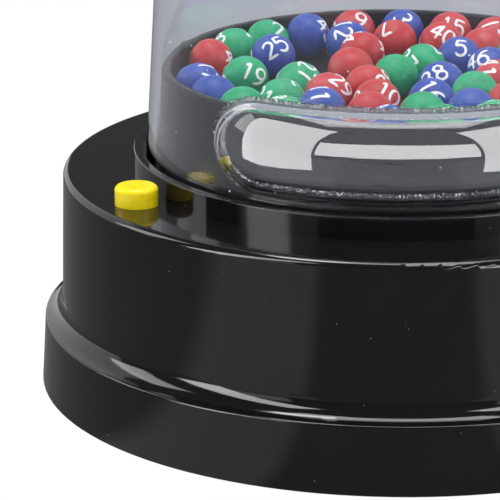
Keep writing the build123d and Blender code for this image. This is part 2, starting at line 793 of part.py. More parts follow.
with BuildPart() as motor_magnets:
    with BuildSketch(Plane.XY.offset(motor_can_top - motor_front - magnet_length)):
        with Locations(placed(motor_place, motor_flat_angle)):
            Circle(motor_radius - motor_wall)
            Rectangle(2 * motor_radius, magnet_width, mode=Mode.INTERSECT)
            Circle(magnet_inner_radius, mode=Mode.SUBTRACT)
    extrude(amount=magnet_length)
finish(motor_magnets.part, "motor_magnets")

with BuildPart() as motor_armature:
    with BuildSketch(Plane.XY.offset(motor_can_bottom + armature_gap)):
        with Locations(motor_place):
            Circle(commutator_radius)
    extrude(amount=commutator_length)
    with BuildSketch(Plane.XY.offset(motor_can_bottom + armature_gap + commutator_length)):
        with Locations(motor_place):
            Circle(armature_radius)
            with PolarLocations(armature_core + armature_radius, 3):
                Rectangle(2 * armature_radius, armature_slot, mode=Mode.SUBTRACT)
    extrude(amount=armature_length)
    with BuildSketch(Plane.XY.offset(motor_can_bottom)):
        with Locations(motor_place):
            Circle(motor_shaft_radius + snug)
    extrude(amount=motor_can_length, mode=Mode.SUBTRACT)
finish(motor_armature.part, "motor_armature")

with BuildPart() as motor_terminals:
    with BuildSketch(Plane.XY.offset(terminal_level)):
        for way in terminal_ways:
            with Locations(placed(step_to(motor_place, terminal_middle, way), way)):
                Rectangle(terminal_length, terminal_width)
    extrude(amount=terminal_thickness)
finish(motor_terminals.part, "motor_terminals")

with BuildPart() as motor_endcap:
    with BuildSketch(Plane.XY.offset(motor_bottom)):
        with Locations(placed(motor_place, motor_flat_angle)):
            Circle(motor_radius - endcap_inset)
            Rectangle(2 * motor_radius, motor_flats - 2 * endcap_inset, mode=Mode.INTERSECT)
    extrude(amount=motor_endcap_length)
    with BuildSketch(Plane.XY.offset(motor_shaft_bottom)):
        with Locations(motor_place):
            Circle(motor_shaft_radius + running_gap)
    extrude(amount=motor_can_bottom - motor_shaft_bottom, mode=Mode.SUBTRACT)
    # slots for the two terminals
    with BuildSketch(Plane.XY.offset(terminal_level)):
        for way in terminal_ways:
            with Locations(placed(step_to(motor_place, terminal_middle, way), way)):
                Rectangle(terminal_length, terminal_width)
    extrude(amount=terminal_thickness, mode=Mode.SUBTRACT)
finish(motor_endcap.part, "motor_endcap")

with BuildPart() as motor_shaft:
    with BuildSketch(Plane.XY.offset(motor_shaft_bottom + running_gap)):
        with Locations(motor_place):
            Circle(motor_shaft_radius)
    extrude(amount=motor_shaft_top - motor_shaft_bottom - running_gap)
finish(motor_shaft.part, "motor_shaft")

with BuildPart() as motor_pinion:
    with BuildSketch(Plane.XY.offset(level_low)):
        with Locations(motor_place):
            Polygon(*gear_outline(pinion_teeth, motor_turn), align=None)
            Circle(motor_shaft_radius + snug, mode=Mode.SUBTRACT)
    extrude(amount=gear_face)
finish(motor_pinion.part, "motor_pinion")

# ---------------------------------------------------------------- button, switch and spring
with BuildPart() as button_cap:
    with BuildSketch(Plane.XY.offset(flange_under)):
        with Locations(button_place):
            Circle(button_flange_radius)
    extrude(amount=button_flange)
    with BuildSketch(Plane.XY.offset(flange_top)):
        with Locations(button_place):
            Circle(button_radius)
    extrude(amount=button_top - flange_top)
    fillet(button_cap.edges().group_by(Axis.Z)[-1], radius=button_edge)
    with BuildSketch(Plane.XY.offset(plunger_top)):
        with Locations(button_place):
            Circle(button_stem_radius)
    extrude(amount=button_stem)
finish(button_cap.part, "button_cap")

with BuildPart() as switch_plunger:
    with BuildSketch(Plane.XY.offset(plunger_top - plunger_length)):
        with Locations(button_place):
            Circle(plunger_radius)
    extrude(amount=plunger_length)
finish(switch_plunger.part, "switch_plunger")

with BuildPart() as switch_body:
    with BuildSketch(Plane.XY.offset(board_top)):
        with Locations(placed(button_place, button_azimuth)):
            Rectangle(switch_side, switch_side)
    extrude(amount=switch_height)
    with BuildSketch(Plane.XY.offset(switch_top)):
        with Locations(button_place):
            Circle(plunger_radius + running_gap)
    extrude(amount=-plunger_well, mode=Mode.SUBTRACT)
finish(switch_body.part, "switch_body")

with BuildPart() as switch_board:
    with BuildSketch(Plane.XY.offset(board_under)):
        with Locations(placed(button_place, button_azimuth)):
            Rectangle(board_length, board_width)
        with Locations(*board_screw_places):
            Circle(small_screw_radius + screw_gap, mode=Mode.SUBTRACT)
    extrude(amount=board_thickness)
finish(switch_board.part, "switch_board")

# Each half turn of the spring is an arc through a point a quarter turn on, halfway up its rise.
with BuildPart() as button_spring:
    with BuildLine() as coil:
        for half in range(2 * spring_turns):
            side = 1 if half % 2 == 0 else -1
            low = spring_bottom + half * spring_rise
            ThreePointArc(
                (button_place[0] + side * spring_radius, button_place[1], low),
                (button_place[0], button_place[1] + side * spring_radius, low + spring_rise / 2),
                (button_place[0] - side * spring_radius, button_place[1], low + spring_rise),
            )
    with BuildSketch(Plane(origin=coil.wires()[0] @ 0, z_dir=coil.wires()[0] % 0)):
        Circle(spring_wire / 2)
    sweep(path=coil.wires()[0])
finish(button_spring.part, "button_spring")

# ---------------------------------------------------------------- base plate with the battery bay
with BuildSketch() as door_outline:
    with Locations((0, bay_middle_y)):
        RectangleRounded(bay_length + 2 * door_margin, bay_width + 2 * door_margin, door_corner)
    with Locations(*door_screw_places):
        Circle(door_tab_radius)

with BuildPart() as base_plate:
    with BuildSketch(Plane.XY.offset(base_plate_under)):
        Circle(plate_radius)
    extrude(amount=base_plate_thickness)
    with BuildSketch(Plane.XY.offset(base_plate_top)):
        with Locations((0, bay_middle_y)):
            Rectangle(bay_length + 2 * bay_wall, bay_width + 2 * bay_wall)
    extrude(amount=bay_roof + bay_wall - base_plate_top)
    with BuildSketch(Plane.XY.offset(base_plate_top)):
        with Locations(*door_screw_places):
            Circle(door_boss_radius)
    extrude(amount=door_boss)
    # room for the cells, open below, with a rebate for the door
    with BuildSketch(Plane.XY.offset(base_plate_under)):
        with Locations((0, bay_middle_y)):
            Rectangle(bay_length, bay_width)
    extrude(amount=bay_roof - base_plate_under, mode=Mode.SUBTRACT)
    with BuildSketch(Plane.XY.offset(base_plate_under)):
        add(door_outline.sketch)
    extrude(amount=door_rebate, mode=Mode.SUBTRACT)
    # slots in the roof for the two tabs of the contacts
    with BuildSketch(Plane.XY.offset(bay_roof)):
        with Locations(*tab_places):
            Rectangle(contact_thickness, tab_width)
    extrude(amount=bay_wall, mode=Mode.SUBTRACT)
    # screw holes, sunk for the heads, and recesses for the feet
    with BuildSketch(Plane.XY.offset(base_plate_under)):
        with Locations(*base_screw_places):
            Circle(base_screw_radius + screw_gap)
    extrude(amount=base_plate_thickness, mode=Mode.SUBTRACT)
    with BuildSketch(Plane.XY.offset(base_plate_under)):
        with Locations(*base_screw_places):
            Circle(base_head_radius + screw_gap)
    extrude(amount=base_head_depth, mode=Mode.SUBTRACT)
    with BuildSketch(Plane.XY.offset(base_plate_under)):
        with Locations(*foot_places):
            Circle(foot_radius)
    extrude(amount=foot_recess, mode=Mode.SUBTRACT)
    with BuildSketch(Plane.XY.offset(door_top)):
        with Locations(*door_screw_places):
            Circle(small_screw_radius + screw_gap)
    extrude(amount=door_screw_grip + 2 * screw_gap, mode=Mode.SUBTRACT)
finish(base_plate.part, "base_plate")

# ---------------------------------------------------------------- battery door
with BuildPart() as battery_door:
    with BuildSketch(Plane.XY.offset(door_under)):
        add(door_outline.sketch)
        offset(amount=-slide_gap, mode=Mode.REPLACE)
    extrude(amount=door_thickness)
    # ribs that cradle the cells
    with BuildSketch(Plane.XY.offset(door_top)):
        with Locations((-door_rib_x, bay_middle_y), (door_rib_x, bay_middle_y)):
            Rectangle(door_rib_width, bay_width - 2 * door_seat)
    extrude(amount=door_rib_height)
    with BuildSketch(Plane.YZ):
        with Locations(*[(y, cell_axis_height) for y in cell_rows]):
            Circle(cell_radius + door_seat)
    extrude(amount=bay_length / 2, both=True, mode=Mode.SUBTRACT)
    with BuildSketch(Plane.XY.offset(door_under)):
        with Locations(*door_screw_places):
            Circle(small_screw_radius + running_gap)
    extrude(amount=door_thickness, mode=Mode.SUBTRACT)
    with BuildSketch(Plane.XY.offset(door_under)):
        with Locations(*door_screw_places):
            Circle(small_head_radius + screw_gap)
    extrude(amount=door_head_depth, mode=Mode.SUBTRACT)
finish(battery_door.part, "battery_door")

# ---------------------------------------------------------------- cells and contacts
with BuildPart() as batteries:
    for row, y in enumerate(cell_rows):
        nub_side = -1 if row % 2 == 0 else 1
        with BuildSketch(Plane.YZ.offset(-nub_side * cell_half_length)):
            with Locations((y, cell_axis_height)):
                Circle(cell_radius)
        extrude(amount=nub_side * cell_length)
        with BuildSketch(Plane.YZ.offset(-nub_side * (cell_half_length - cell_length))):
            with Locations((y, cell_axis_height)):
                Circle(cell_nub_radius)
        extrude(amount=nub_side * cell_nub)
finish(batteries.part, "batteries")

# The first and last row of cells that each contact plate serves.
left_plates = ((near_row, near_row), (middle_row, far_row))
right_plates = ((near_row, middle_row), (far_row, far_row))
with BuildPart() as battery_contacts:
    for side, plates in zip((-1, 1), (left_plates, right_plates)):
        for first, last in plates:
            with BuildSketch(Plane.YZ.offset(side * contact_face)):
                with Locations(((first + last) / 2, cell_axis_height)):
                    Rectangle(contact_width + last - first, contact_height)
            extrude(amount=side * contact_thickness)
    for side, place in zip((-1, 1), tab_places):
        with BuildSketch(Plane.YZ.offset(side * contact_face)):
            with Locations((place[1], (cell_axis_height + bay_roof + bay_wall + tab_proud) / 2)):
                Rectangle(tab_width, bay_roof + bay_wall + tab_proud - cell_axis_height)
        extrude(amount=side * contact_thickness)
    # a springy tongue bent out of the plate at each end of each cell
    for side in (-1, 1):
        for y in cell_rows:
            with BuildSketch(Plane.XZ.offset(-y)):
                Polygon(
                    (side * contact_face, cell_axis_height + tongue_rise),
                    (side * (cell_half_length + solder_gap), cell_axis_height + tongue_flat),
                    (side * (cell_half_length + solder_gap), cell_axis_height - tongue_flat),
                    (side * (contact_face - tongue_strip), cell_axis_height - tongue_rise),
                    (side * contact_face, cell_axis_height - tongue_rise),
                    (side * (cell_half_length + tongue_strip), cell_axis_height - tongue_flat),
                    (side * (cell_half_length + tongue_strip), cell_axis_height + tongue_flat),
                    (side * (contact_face + tongue_strip), cell_axis_height + tongue_rise),
                    align=None,
                )
            extrude(amount=tongue_width / 2, both=True)
finish(battery_contacts.part, "battery_contacts")

# ---------------------------------------------------------------- feet
with BuildPart() as rubber_feet:
    with BuildSketch():
        with Locations(*foot_places):
            Circle(foot_radius)
    extrude(amount=base_plate_under + foot_recess)
finish(rubber_feet.part, "rubber_feet")

# ---------------------------------------------------------------- screws
# Name, places, height of the face the head bears on, way it points, its reach, then the radius of the
# shank, and the radius and height of the head.
screw_sets = (
    ("bowl_screws", bowl_screw_places, deck_under, 1, deck_thickness + bowl_screw_grip,
     small_screw_radius, small_head_radius, small_head),
    ("gearbox_screws", pillar_places, plate_lower_under, 1,
     2 * plate_thickness + plate_spacing + gearbox_screw_grip,
     small_screw_radius, small_head_radius, small_head),
    ("switch_screws", board_screw_places, board_under, 1, board_thickness + board_screw_grip,
     small_screw_radius, small_head_radius, small_head),
    ("motor_screws", motor_screw_places, plate_lower_top, -1, plate_thickness + motor_screw_grip,
     small_screw_radius, small_head_radius, small_head),
    ("base_screws", base_screw_places, base_plate_under + base_head_depth, 1,
     base_plate_thickness - base_head_depth + base_screw_grip,
     base_screw_radius, base_head_radius, base_head - running_gap),
    ("door_screws", door_screw_places, door_under + door_head_depth, 1,
     door_thickness - door_head_depth + door_screw_grip,
     small_screw_radius, small_head_radius, door_head),
)
for name, places, face, way, reach, shank, head_radius, head in screw_sets:
    with BuildPart() as screws:
        with BuildSketch(Plane.XY.offset(face)):
            with Locations(*places):
                Circle(head_radius)
        extrude(amount=-way * head)
        with BuildSketch(Plane.XY.offset(face)):
            with Locations(*places):
                Circle(shank)
        extrude(amount=way * reach)
        with BuildSketch(Plane.XY.offset(face - way * head)):
            with Locations(*places):
                Rectangle(2 * head_radius, slot_width)
        extrude(amount=way * slot_depth, mode=Mode.SUBTRACT)
    finish(screws.part, name)

# ---------------------------------------------------------------- dome
with BuildSketch(Plane.XZ) as gallery_inside:
    with Locations((0, gallery_centre)):
        SlotOverall(2 * (gallery_half_width - gallery_wall), 2 * (gallery_half_height - gallery_wall))

with BuildPart() as dome:
    with BuildSketch(Plane.XZ) as dome_profile:
        with BuildLine():
            outer_side = Polyline(
                (dome_inside(dome_bottom), dome_bottom),
                (dome_outside(dome_bottom), dome_bottom),
                (dome_outside(dome_edge_height), dome_edge_height),
            )
            outer_crown = ThreePointArc(
                outer_side @ 1,
                (dome_outside(dome_edge_height) / 2, crown_height(dome_outside(dome_edge_height) / 2, 0)),
                (crown_pad_radius, crown_height(crown_pad_radius, 0)),
            )
            inner_edge_radius = dome_inside(dome_edge_height)
            inner_side = Line(
                (dome_inside(dome_bottom), dome_bottom),
                (inner_edge_radius, crown_height(inner_edge_radius, dome_wall)),
            )
            inner_crown = ThreePointArc(
                inner_side @ 1,
                (inner_edge_radius / 2, crown_height(inner_edge_radius / 2, dome_wall)),
                (crown_pad_radius, crown_height(crown_pad_radius, dome_wall)),
            )
            Polyline(
                outer_crown @ 1,
                (0, crown_height(crown_pad_radius, 0)),
                (0, crown_height(crown_pad_radius, dome_wall)),
                inner_crown @ 1,
            )
        make_face()
        fillet(dome_profile.vertices().sort_by_distance(outer_side @ 1)[0], radius=dome_shoulder)
        fillet(dome_profile.vertices().sort_by_distance(inner_side @ 1)[0], radius=dome_shoulder - dome_wall)
    revolve(axis=Axis.Z)
    # the window through which balls reach the gallery
    add(gallery_inside.sketch)
    extrude(amount=gallery_depth_radius, mode=Mode.SUBTRACT)
finish(dome.part, "dome")

# ---------------------------------------------------------------- ball gallery
with BuildPart() as gallery_room:
    with BuildSketch(Plane.XZ):
        with Locations((0, gallery_centre)):
            SlotOverall(2 * (gallery_half_width - gallery_wall), 2 * (gallery_half_height - gallery_wall))
    extrude(amount=gallery_depth_radius + cut_spare)
    with BuildSketch(Plane.XY.offset(deck)):
        with Locations((0, gallery_curve - gallery_depth_radius)):
            Circle(gallery_curve - gallery_wall)
    extrude(amount=2 * gallery_centre_height, mode=Mode.INTERSECT)
    fillet(gallery_room.faces().sort_by(Axis.Y)[0].edges(), radius=gallery_edge - gallery_wall)

with BuildPart() as ball_gallery:
    with BuildSketch(Plane.XZ):
        with Locations((0, gallery_centre)):
            SlotOverall(2 * gallery_half_width, 2 * gallery_half_height)
    extrude(amount=gallery_depth_radius + cut_spare)
    with BuildSketch(Plane.XY.offset(deck)):
        with Locations((0, gallery_curve - gallery_depth_radius)):
            Circle(gallery_curve)
    extrude(amount=2 * gallery_centre_height, mode=Mode.INTERSECT)
    fillet(ball_gallery.faces().sort_by(Axis.Y)[0].edges(), radius=gallery_edge)
    add(gallery_room.part, mode=Mode.SUBTRACT)
    # the back is cut to the dome's side, with room for the glue
    with BuildSketch(Plane.XZ):
        Polygon(
            (0, deck),
            (dome_outside(deck) + gallery_glue_gap, deck),
            (dome_outside(dome_edge_height) + gallery_glue_gap, dome_edge_height),
            (0, dome_edge_height),
            align=None,
        )
    revolve(axis=Axis.Z, mode=Mode.SUBTRACT)
finish(ball_gallery.part, "ball_gallery")

# ---------------------------------------------------------------- wires
battery_start = (tab_places[0][0] - contact_thickness / 2 - solder_gap, tab_places[0][1], wire_level)
battery_end = (tab_places[1][0] + contact_thickness / 2 + solder_gap, tab_places[1][1], wire_level)
switch_in = on_board(-solder_offset, solder_inset)
switch_out = on_board(solder_offset, solder_inset)
terminal_reach = motor_flats / 2 + terminal_proud / 2 + wire_radius / 2
terminal_in = step_to(motor_place, terminal_reach, terminal_ways[1])
terminal_out = step_to(motor_place, terminal_reach, terminal_ways[0])
terminal_top = terminal_level + terminal_thickness + solder_gap
solder_height = board_under - solder_gap
wire_side = bay_length / 2 + wire_bay_gap
wire_routes = {
    "wire_battery_switch": [
        battery_start,
        (-wire_side, battery_start[1], wire_level),
        (wire_wall_gap - wall_foot_radius, 0.0, wire_level),
        (*switch_in, wire_level),
        (*switch_in, solder_height),
    ],
    "wire_switch_motor": [
        (*switch_out, solder_height),
        (*switch_out, wire_level),
        (*wire_dip, motor_wire_level),
        (*terminal_in, motor_wire_level),
        (*terminal_in, terminal_top),
    ],
    "wire_motor_battery": [
        (*terminal_out, terminal_top),
        (*terminal_out, motor_wire_level),
        (*wire_rise, wire_level),
        (wire_side, middle_row, wire_level),
        (wire_side - wire_lead, battery_end[1], wire_level),
        battery_end,
    ],
}
for name, points in wire_routes.items():
    with BuildPart() as wire:
        with BuildLine() as route:
            FilletPolyline(*points, radius=bend_radii(points))
        with BuildSketch(Plane(origin=route.wires()[0] @ 0, z_dir=route.wires()[0] % 0)):
            Circle(wire_radius)
        sweep(path=route.wires()[0])
    finish(wire.part, name)
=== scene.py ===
# %% [markdown]
# # A tabletop lottery ball machine
# The machine is a glossy black base, a dark bowl of small numbered balls on a turntable, and a clear
# dome with a bulging gallery across its front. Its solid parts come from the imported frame, already in
# place and in metres. This lesson gives them their finishes, prints the numbers on the balls, lays the
# bead of cement that holds the gallery, and sets the lamps, the floor and the camera.

# %% Load the frame
from math import pi

import bpy
import numpy as np
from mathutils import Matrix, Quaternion, Vector


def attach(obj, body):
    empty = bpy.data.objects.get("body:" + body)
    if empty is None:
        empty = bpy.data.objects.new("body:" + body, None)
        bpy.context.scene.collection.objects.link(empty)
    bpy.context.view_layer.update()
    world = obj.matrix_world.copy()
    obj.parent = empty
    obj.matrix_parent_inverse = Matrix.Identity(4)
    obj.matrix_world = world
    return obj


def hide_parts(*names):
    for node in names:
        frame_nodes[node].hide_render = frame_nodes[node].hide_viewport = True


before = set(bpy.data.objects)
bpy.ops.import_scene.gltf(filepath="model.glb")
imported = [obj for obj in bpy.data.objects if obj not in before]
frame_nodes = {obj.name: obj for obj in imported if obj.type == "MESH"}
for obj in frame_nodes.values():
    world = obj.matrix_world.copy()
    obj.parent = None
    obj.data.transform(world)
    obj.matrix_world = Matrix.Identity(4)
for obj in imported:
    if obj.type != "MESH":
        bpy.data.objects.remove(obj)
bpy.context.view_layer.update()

# %% [markdown]
# ## Tools for materials
# Every finish here starts from the Principled shader. What makes a finish believable is how it varies:
# a little colour, a little roughness and a little relief, each from a noise at the scale that the real
# surface shows. The noise reads Object coordinates. These are metres on every piece, because each piece
# sits at the origin, so a scale of 1000 gives grains about a millimetre across.

# %% A new material
def new_finish(name, colour, roughness, metallic=0.0, ior=1.5):
    """A material with one Principled shader, returned with its node tree and the shader."""
    material = bpy.data.materials.new(name)
    material.use_nodes = True
    tree = material.node_tree
    shader = tree.nodes["Principled BSDF"]
    shader.inputs["Base Color"].default_value = (*colour, 1.0)
    shader.inputs["Roughness"].default_value = roughness
    shader.inputs["Metallic"].default_value = metallic
    shader.inputs["IOR"].default_value = ior
    return material, tree, shader


# %% Noise, ranges, mixes and relief
def noise(tree, scale, detail=3.0, stretch=(1.0, 1.0, 1.0), distortion=0.0):
    """Cloudy noise on Object coordinates. A stretch below 1 along an axis draws the grains out along it."""
    place = tree.nodes.new("ShaderNodeTexCoord")
    mapping = tree.nodes.new("ShaderNodeMapping")
    mapping.inputs["Scale"].default_value = stretch
    grains = tree.nodes.new("ShaderNodeTexNoise")
    grains.inputs["Scale"].default_value = scale
    grains.inputs["Detail"].default_value = detail
    grains.inputs["Distortion"].default_value = distortion
    tree.links.new(place.outputs["Object"], mapping.inputs["Vector"])
    tree.links.new(mapping.outputs["Vector"], grains.inputs["Vector"])
    return grains.outputs["Fac"]


def between(tree, factor, low, high, start=0.3, end=0.7):
    """Carries a noise value from start..end to low..high."""
    span = tree.nodes.new("ShaderNodeMapRange")
    span.inputs["From Min"].default_value = start
    span.inputs["From Max"].default_value = end
    span.inputs["To Min"].default_value = low
    span.inputs["To Max"].default_value = high
    tree.links.new(factor, span.inputs["Value"])
    return span.outputs["Result"]


def mix_colours(tree, factor, first, second):
    """Mixes two colours, or a socket and a colour, by a factor."""
    mix = tree.nodes.new("ShaderNodeMix")
    mix.data_type = "RGBA"
    tree.links.new(factor, mix.inputs[0])
    for socket, colour in ((mix.inputs[6], first), (mix.inputs[7], second)):
        if isinstance(colour, tuple):
            socket.default_value = (*colour, 1.0)
        else:
            tree.links.new(colour, socket)
    return mix.outputs[2]


def relief(tree, shader, height, depth, strength=1.0):
    """Bumps the surface by a height of 0..1, whose full step is depth metres."""
    bump = tree.nodes.new("ShaderNodeBump")
    bump.inputs["Strength"].default_value = strength
    bump.inputs["Distance"].default_value = depth
    tree.links.new(height, bump.inputs["Height"])
    tree.links.new(bump.outputs["Normal"], shader.inputs["Normal"])


def specks(tree, scale, size, stretch=(1.0, 1.0, 1.0)):
    """1 inside small scattered dots, 0 elsewhere: the cores of Voronoi cells at Object coordinates."""
    place = tree.nodes.new("ShaderNodeTexCoord")
    mapping = tree.nodes.new("ShaderNodeMapping")
    mapping.inputs["Scale"].default_value = stretch
    cells = tree.nodes.new("ShaderNodeTexVoronoi")
    cells.inputs["Scale"].default_value = scale
    tree.links.new(place.outputs["Object"], mapping.inputs["Vector"])
    tree.links.new(mapping.outputs["Vector"], cells.inputs["Vector"])
    return between(tree, cells.outputs["Distance"], 1.0, 0.0, size * 0.6, size)


# %% Giving a finish to nodes
dressed = set()


def dress(material, *names):
    """Puts one material on whole CAD nodes."""
    for name in names:
        mesh = frame_nodes[name].data
        mesh.materials.clear()
        mesh.materials.append(material)
        dressed.add(name)
    print(f"{material.name}: {', '.join(names)}")


# %% [markdown]
# ## The black base
# The housing is moulded in glossy black plastic, so its colour is almost nothing and its look is all
# reflection. A perfect mirror would look computed. The real skin has a long faint ripple from shrinking
# in the mould, polish that is a little duller in patches, and the odd fleck of dust.

# %% Gloss black
gloss_black, tree, shader = new_finish("gloss_black", (0.004, 0.004, 0.005), 0.07, ior=1.49)
dust = specks(tree, 230.0, 0.035)
patches = noise(tree, 55.0, 4.0)
black = mix_colours(tree, patches, (0.0035, 0.0035, 0.0042), (0.0065, 0.0065, 0.0075))
tree.links.new(mix_colours(tree, dust, black, (0.16, 0.16, 0.17)), shader.inputs["Base Color"])
tree.links.new(between(tree, noise(tree, 90.0, 5.0), 0.045, 0.11), shader.inputs["Roughness"])
relief(tree, shader, noise(tree, 38.0, 1.0), 0.00010, 0.35)
dress(gloss_black, "base_housing")

# %% [markdown]
# ## The bowl and the turntable
# These stand inside the dome and are the same black plastic with less polish. Rolling balls have dulled
# it with fine hazy rubbing, which runs round the bowl, so the noise is drawn out sideways and hardly at
# all up and down.

# %% Rubbed black
rubbed_black, tree, shader = new_finish("rubbed_black", (0.02, 0.02, 0.022), 0.3)
rubbing = noise(tree, 160.0, 6.0, (0.35, 0.35, 3.0), 0.6)
tree.links.new(
    mix_colours(tree, rubbing, (0.010, 0.010, 0.012), (0.020, 0.021, 0.023)), shader.inputs["Base Color"]
)
tree.links.new(between(tree, rubbing, 0.26, 0.36), shader.inputs["Roughness"])
relief(tree, shader, noise(tree, 900.0, 3.0, (0.3, 0.3, 2.0)), 0.00001, 0.3)
dress(rubbed_black, "ball_bowl", "turntable")

# %% [markdown]
# ## Clear moulded plastic
# The dome and the gallery are clear polystyrene. It bends light a little more than water does and has a
# trace of grey. Moulded walls are never quite even, so a faint ripple that runs up and down the dome
# makes the soft streaks that such covers show. A real wall also carries flecks, where it stops being
# clear: there the transmission drops and a whitish dot is left. Lamps have to reach the balls through
# the wall, so shadow rays mostly pass straight on, which is what a thin clear wall does to light.

# %% Clear plastic
def clear_plastic(name, colour, ripple_scale, ripple_stretch, ripple_depth, fleck_scale, fleck_size):
    """Clear plastic with a drawn-out ripple, hazy flecks, and shadow rays that pass through it."""
    material, tree, shader = new_finish(name, colour, 0.012, ior=1.5)
    flecks = specks(tree, fleck_scale, fleck_size)
    clearness = between(tree, flecks, 1.0, 0.35, 0.0, 1.0)
    tree.links.new(clearness, shader.inputs["Transmission Weight"])
    haze = between(tree, noise(tree, 120.0, 5.0), 0.0, 0.03, 0.45, 0.8)
    tree.links.new(haze, shader.inputs["Roughness"])
    relief(tree, shader, noise(tree, ripple_scale, 2.0, ripple_stretch, 0.4), ripple_depth, 0.6)
    path = tree.nodes.new("ShaderNodeLightPath")
    passing = tree.nodes.new("ShaderNodeBsdfTransparent")
    passing.inputs["Color"].default_value = (0.92, 0.93, 0.94, 1.0)
    chosen = tree.nodes.new("ShaderNodeMixShader")
    tree.links.new(path.outputs["Is Shadow Ray"], chosen.inputs[0])
    tree.links.new(shader.outputs[0], chosen.inputs[1])
    tree.links.new(passing.outputs[0], chosen.inputs[2])
    tree.links.new(chosen.outputs[0], tree.nodes["Material Output"].inputs["Surface"])
    return material


dress(
    clear_plastic("clear_dome", (0.975, 0.982, 0.988), 70.0, (1.0, 1.0, 0.06), 0.00012, 160.0, 0.045), "dome"
)
clear_gallery = clear_plastic(
    "clear_gallery", (0.975, 0.982, 0.988), 60.0, (1.0, 1.0, 1.0), 0.00010, 260.0, 0.05
)
dress(clear_gallery, "ball_gallery")

# %% [markdown]
# ## The balls
# The little balls are solid plastic with a satin skin. Tumbling has bloomed it: the colour is mottled
# with paler clouds a few millimetres wide and fine pale scratches. A thin coat gives each ball its one
# small soft highlight over a duller body.

# %% Ball colours
def ball_finish(name, deep, pale):
    """Satin coloured plastic, clouded from deep to pale, with fine scuffs and a thin soft coat."""
    material, tree, shader = new_finish(name, deep, 0.4)
    clouds = between(tree, noise(tree, 330.0, 6.0, distortion=0.8), 0.0, 1.0, 0.40, 0.85)
    clouded = mix_colours(tree, clouds, deep, pale)
    scuffs = between(tree, noise(tree, 1500.0, 4.0, (1.0, 0.25, 0.6), 1.5), 0.0, 0.22, 0.62, 0.8)
    tree.links.new(mix_colours(tree, scuffs, clouded, (0.75, 0.75, 0.75)), shader.inputs["Base Color"])
    tree.links.new(between(tree, clouds, 0.34, 0.5, 0.0, 1.0), shader.inputs["Roughness"])
    shader.inputs["Coat Weight"].default_value = 0.25
    shader.inputs["Coat Roughness"].default_value = 0.22
    relief(tree, shader, noise(tree, 2200.0, 3.0), 0.00004, 0.35)
    return material


dress(ball_finish("ball_red", (0.50, 0.020, 0.026), (0.62, 0.070, 0.070)), "balls_red")
dress(ball_finish("ball_green", (0.004, 0.32, 0.125), (0.020, 0.46, 0.22)), "balls_green")
dress(ball_finish("ball_blue", (0.018, 0.055, 0.34), (0.050, 0.11, 0.46)), "balls_blue")

# %% [markdown]
# ## Numbers on the balls
# Each ball carries its number in several places, printed in thick white ink at all angles. Flat lettering
# does not wrap round a ball, so each figure is a pen stroke: a path of points in a flat square, made of
# arcs and straight runs. The stroke gets a width with round ends, and is then laid on the ball by turning
# from the print's middle by the distance over the radius.

# %% Pen strokes of the ten figures
def arc(x, y, half_width, half_height, start, end, count=12):
    """Points (x + w cos t, y + h sin t) for t from start to end, in degrees."""
    turn = np.radians(np.linspace(start, end, count))
    return np.column_stack((x + half_width * np.cos(turn), y + half_height * np.sin(turn)))


def points(*places):
    """Corners of a straight-run stroke."""
    return np.array(places, float)


six = np.vstack((points((0.20, 0.45), (0.0, 0.39), (-0.17, 0.20)), arc(0.0, -0.18, 0.27, 0.27, 165, 535, 18)))
figures = {
    "0": arc(0.0, 0.0, 0.28, 0.45, 90, 450, 20),
    "1": points((-0.16, 0.26), (0.04, 0.45), (0.04, -0.45)),
    "2": np.vstack((arc(0.0, 0.19, 0.26, 0.26, 165, -38, 10), points((-0.27, -0.45), (0.28, -0.45)))),
    "3": np.vstack((arc(-0.02, 0.22, 0.25, 0.23, 150, -80, 10), arc(-0.02, -0.22, 0.28, 0.23, 80, -150, 10))),
    "4": points((0.12, -0.45), (0.12, 0.45), (-0.29, -0.14), (0.30, -0.14)),
    "5": np.vstack(
        (points((0.25, 0.45), (-0.19, 0.45), (-0.23, 0.06)), arc(0.0, -0.15, 0.27, 0.30, 125, -150, 12))
    ),
    "6": six,
    "7": points((-0.27, 0.45), (0.28, 0.45), (-0.06, -0.45)),
    "8": np.vstack((arc(0.0, 0.23, 0.21, 0.22, -90, 270, 12), arc(0.0, -0.22, 0.27, 0.23, 90, -270, 14))),
    "9": -six,
}
underline = points((-0.22, -0.66), (0.22, -0.66))
print(f"{len(figures)} figures")

# %% A stroke wrapped on a ball
ball_radius = 0.005
ink_height = 0.00003
ink_sink = 0.00004


def resample(path, count):
    """The same path with points at equal steps of its length."""
    steps = np.hypot(*np.diff(path, axis=0).T)
    along = np.concatenate(([0.0], np.cumsum(steps)))
    wanted = np.linspace(0.0, along[-1], count)
    return np.column_stack([np.interp(wanted, along, path[:, axis]) for axis in (0, 1)]), wanted


